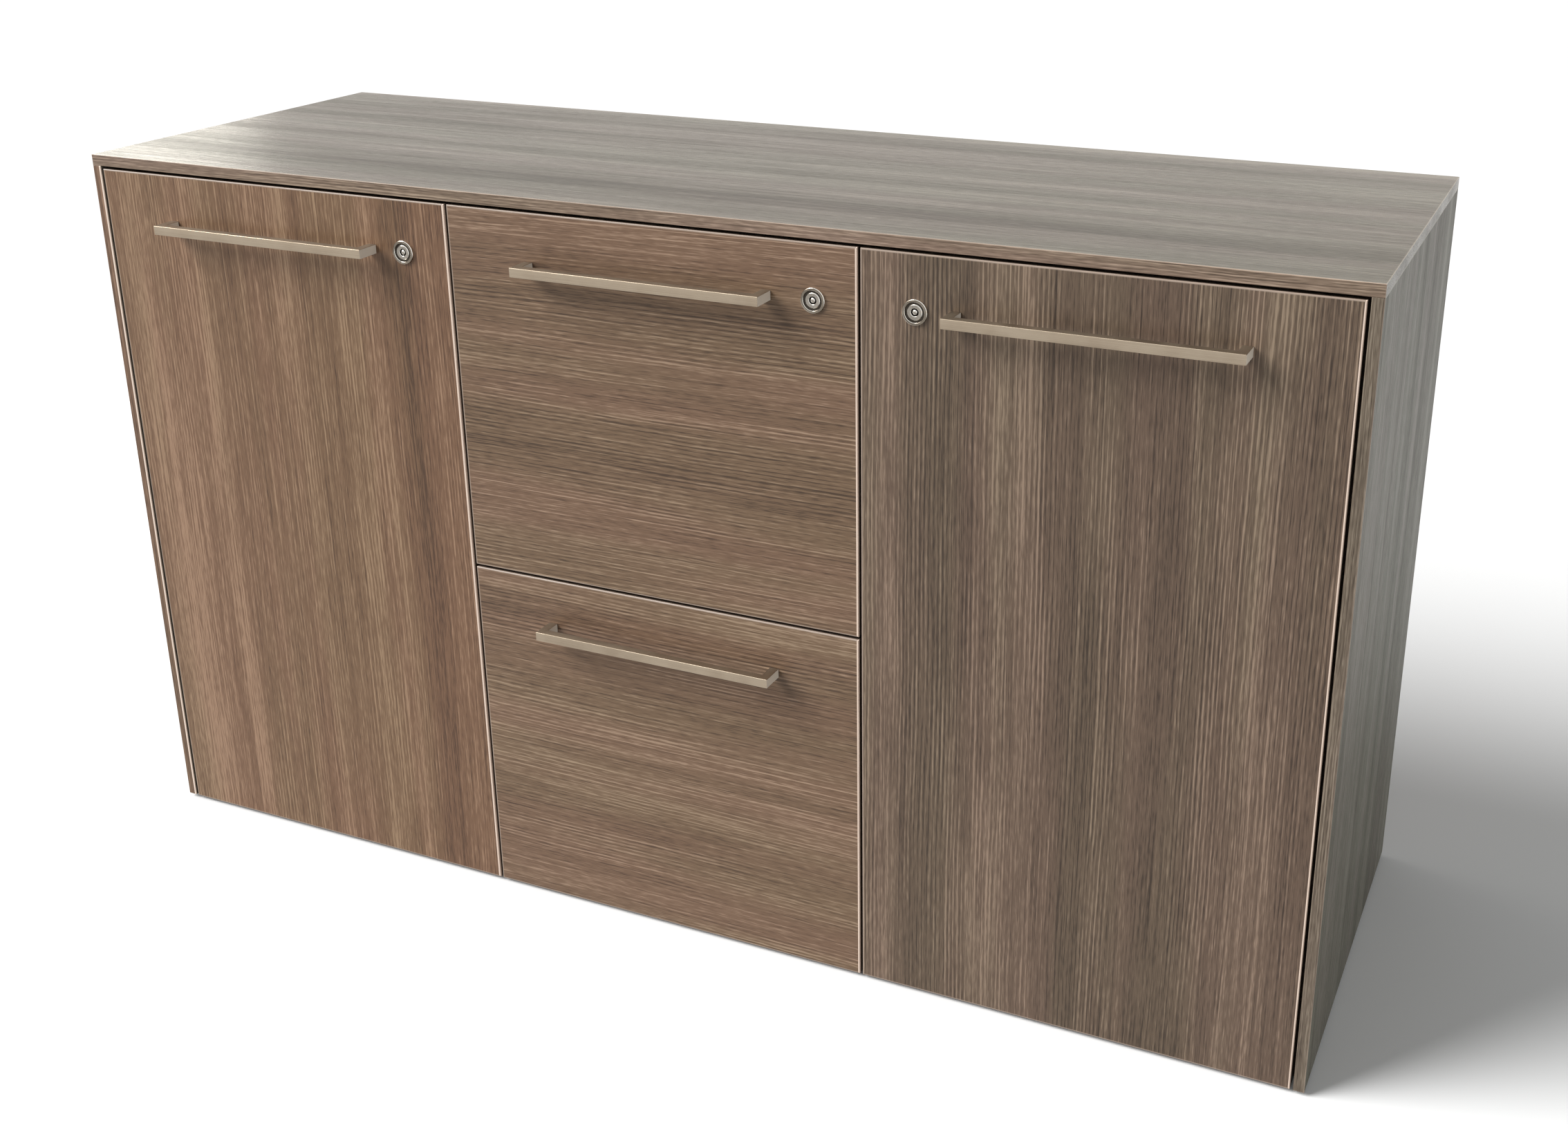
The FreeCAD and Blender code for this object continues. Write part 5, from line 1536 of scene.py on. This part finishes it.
# ---- studio -----------------------------------------------------------------------------
@dataclass(frozen=True)
class Studio:
    """A pale floor, soft light and the camera.

    Attributes:
        camera_place: Where the camera stands.
        right: The camera's right.
        down: The camera's down.
        forward: The camera's view.
        lens: Focal length on a 36 mm sensor.
        shift: The lens's shift across and up.
        sky: How much the sky lights things; it shows as 1.
        floor_reach: How far the floor runs each way.
        floor_shown: The floor's two slightly different greys as the camera sees them.
        floor_lit: Its darker grey as it throws light back.
    """

    camera_place: Triple = (0.82493, -1.57157, 1.10420)
    right: Triple = (0.913977, 0.405757, -0.002784)
    down: Triple = (0.142229, -0.326784, -0.934336)
    forward: Triple = (-0.380023, 0.853565, -0.356384)
    lens: float = 41.7735
    shift: tuple[float, float] = (-0.0509, -0.0617)
    sky: float = 0.30
    floor_reach: float = 30.0
    floor_shown: tuple[Colour, Colour] = ((0.86, 0.86, 0.86), (0.88, 0.88, 0.875))
    floor_lit: Colour = (0.42, 0.42, 0.42)

    def build(self) -> None:
        """Make the floor, the light and the camera."""
        self.make_floor()
        self.make_light()
        self.make_camera()

    def make_floor(self) -> None:
        """Lay a large pale floor that shows white to the camera and keeps shadows."""
        skin = Skin("pale_floor", Roughness=0.9, Specular_IOR_Level=0.2)
        tree = skin.tree
        pale = tree.mix(tree.noise(skin.place, 0.8, 2.0), *self.floor_shown)
        tree.feed(skin.shader.inputs["Base Color"],
                  tree.mix(tree.looked_at(), self.floor_lit, pale))
        reach = np.linspace(-self.floor_reach, self.floor_reach, 9)
        along, across = np.meshgrid(reach, reach)
        surface = grid(np.stack([across, along, 0 * across], -1)[::-1], round_about=False)
        mesh = bpy.data.meshes.new("floor")
        mesh.from_pydata(surface.points.tolist(), [], surface.faces)
        mesh.materials.append(skin.material)
        add_object("floor", mesh)

    def make_light(self) -> None:
        """Set an even pale sky, a wide sun from the left front and a card at each end."""
        world = bpy.data.worlds.new("pale_sky")
        bpy.context.scene.world = world
        world.use_nodes = True
        world.node_tree.nodes.clear()
        tree = Tree(world.node_tree)
        strength = tree.math("ADD", self.sky, tree.times(tree.looked_at(), 1.0 - self.sky))
        back = tree.node("Background", Color=(1.0, 1.0, 1.0), Strength=strength)
        tree.node("OutputWorld", Surface=back.outputs[0])
        self.hang_lamp("key", "SUN", (53.0, 0.0, -58.0), energy=4.8, angle=math.radians(36))
        self.hang_lamp("left_card", "AREA", (90.0, 0.0, -116.0), (-2.4, 0.95, 1.15),
                       shape="ELLIPSE", size=1.5, size_y=0.5, energy=8.5,
                       color=(1.0, 0.97, 0.86))
        self.hang_lamp("right_card", "AREA", (86.0, 0.0, 90.0), (2.2, 0.05, 0.35),
                       shape="ELLIPSE", size=1.2, size_y=0.5, energy=4.6,
                       color=(0.94, 1.0, 0.98))

    def hang_lamp(self, name: str, kind: str, turn: Triple, place: Triple = (0.0, 0.0, 0.0),
                  **settings: object) -> None:
        """Hang a lamp; a card doesn't show to the camera.

        Args:
            name: Its name.
            kind: SUN or AREA.
            turn: Its turn about x, y and z in degrees.
            place: Where its middle hangs.
            **settings: Its size, power and colour.
        """
        lamp = bpy.data.lights.new(name, kind)
        for key, value in settings.items():
            setattr(lamp, key, value)
        holder = add_object(name, lamp)
        holder.location = place
        holder.rotation_euler = [math.radians(angle) for angle in turn]
        holder.visible_camera = kind != "AREA"

    def make_camera(self) -> None:
        """Stand the camera in its place and make it the scene's."""
        data = bpy.data.cameras.new("camera")
        data.lens = self.lens
        data.sensor_width = 36.0
        data.sensor_fit = "HORIZONTAL"
        data.shift_x, data.shift_y = self.shift
        data.clip_end = 100.0
        camera = add_object("camera", data)
        turn = np.eye(4)
        turn[:3] = np.column_stack([self.right, -np.array(self.down),
                                    -np.array(self.forward), self.camera_place])
        camera.matrix_world = Matrix(turn.tolist())
        bpy.context.scene.camera = camera


def main() -> None:
    """Dress the credenza, set the studio and report."""
    logging.basicConfig(level=logging.INFO, format="%(name)s: %(message)s")
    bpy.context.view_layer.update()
    finishes = Finishes(Effects())
    Shell().build(finishes)
    for side, sign, shift in (("left", -1, (0.2, 0.4, 0.6)), ("right", 1, (0.9, 1.1, 2.3))):
        Door(f"{side}_door", "leaf", shift, side, sign).build(finishes)
    for level, locked, shift in (("upper", True, (0.4, 0.0, 0.9)),
                                 ("lower", False, (1.2, 0.1, 1.9))):
        Drawer(f"{level}_drawer", "front", shift, level, locked).build(finishes)
    Studio().build()
    bpy.context.scene.view_settings.view_transform = "Standard"


if __name__ == "__main__":
    main()
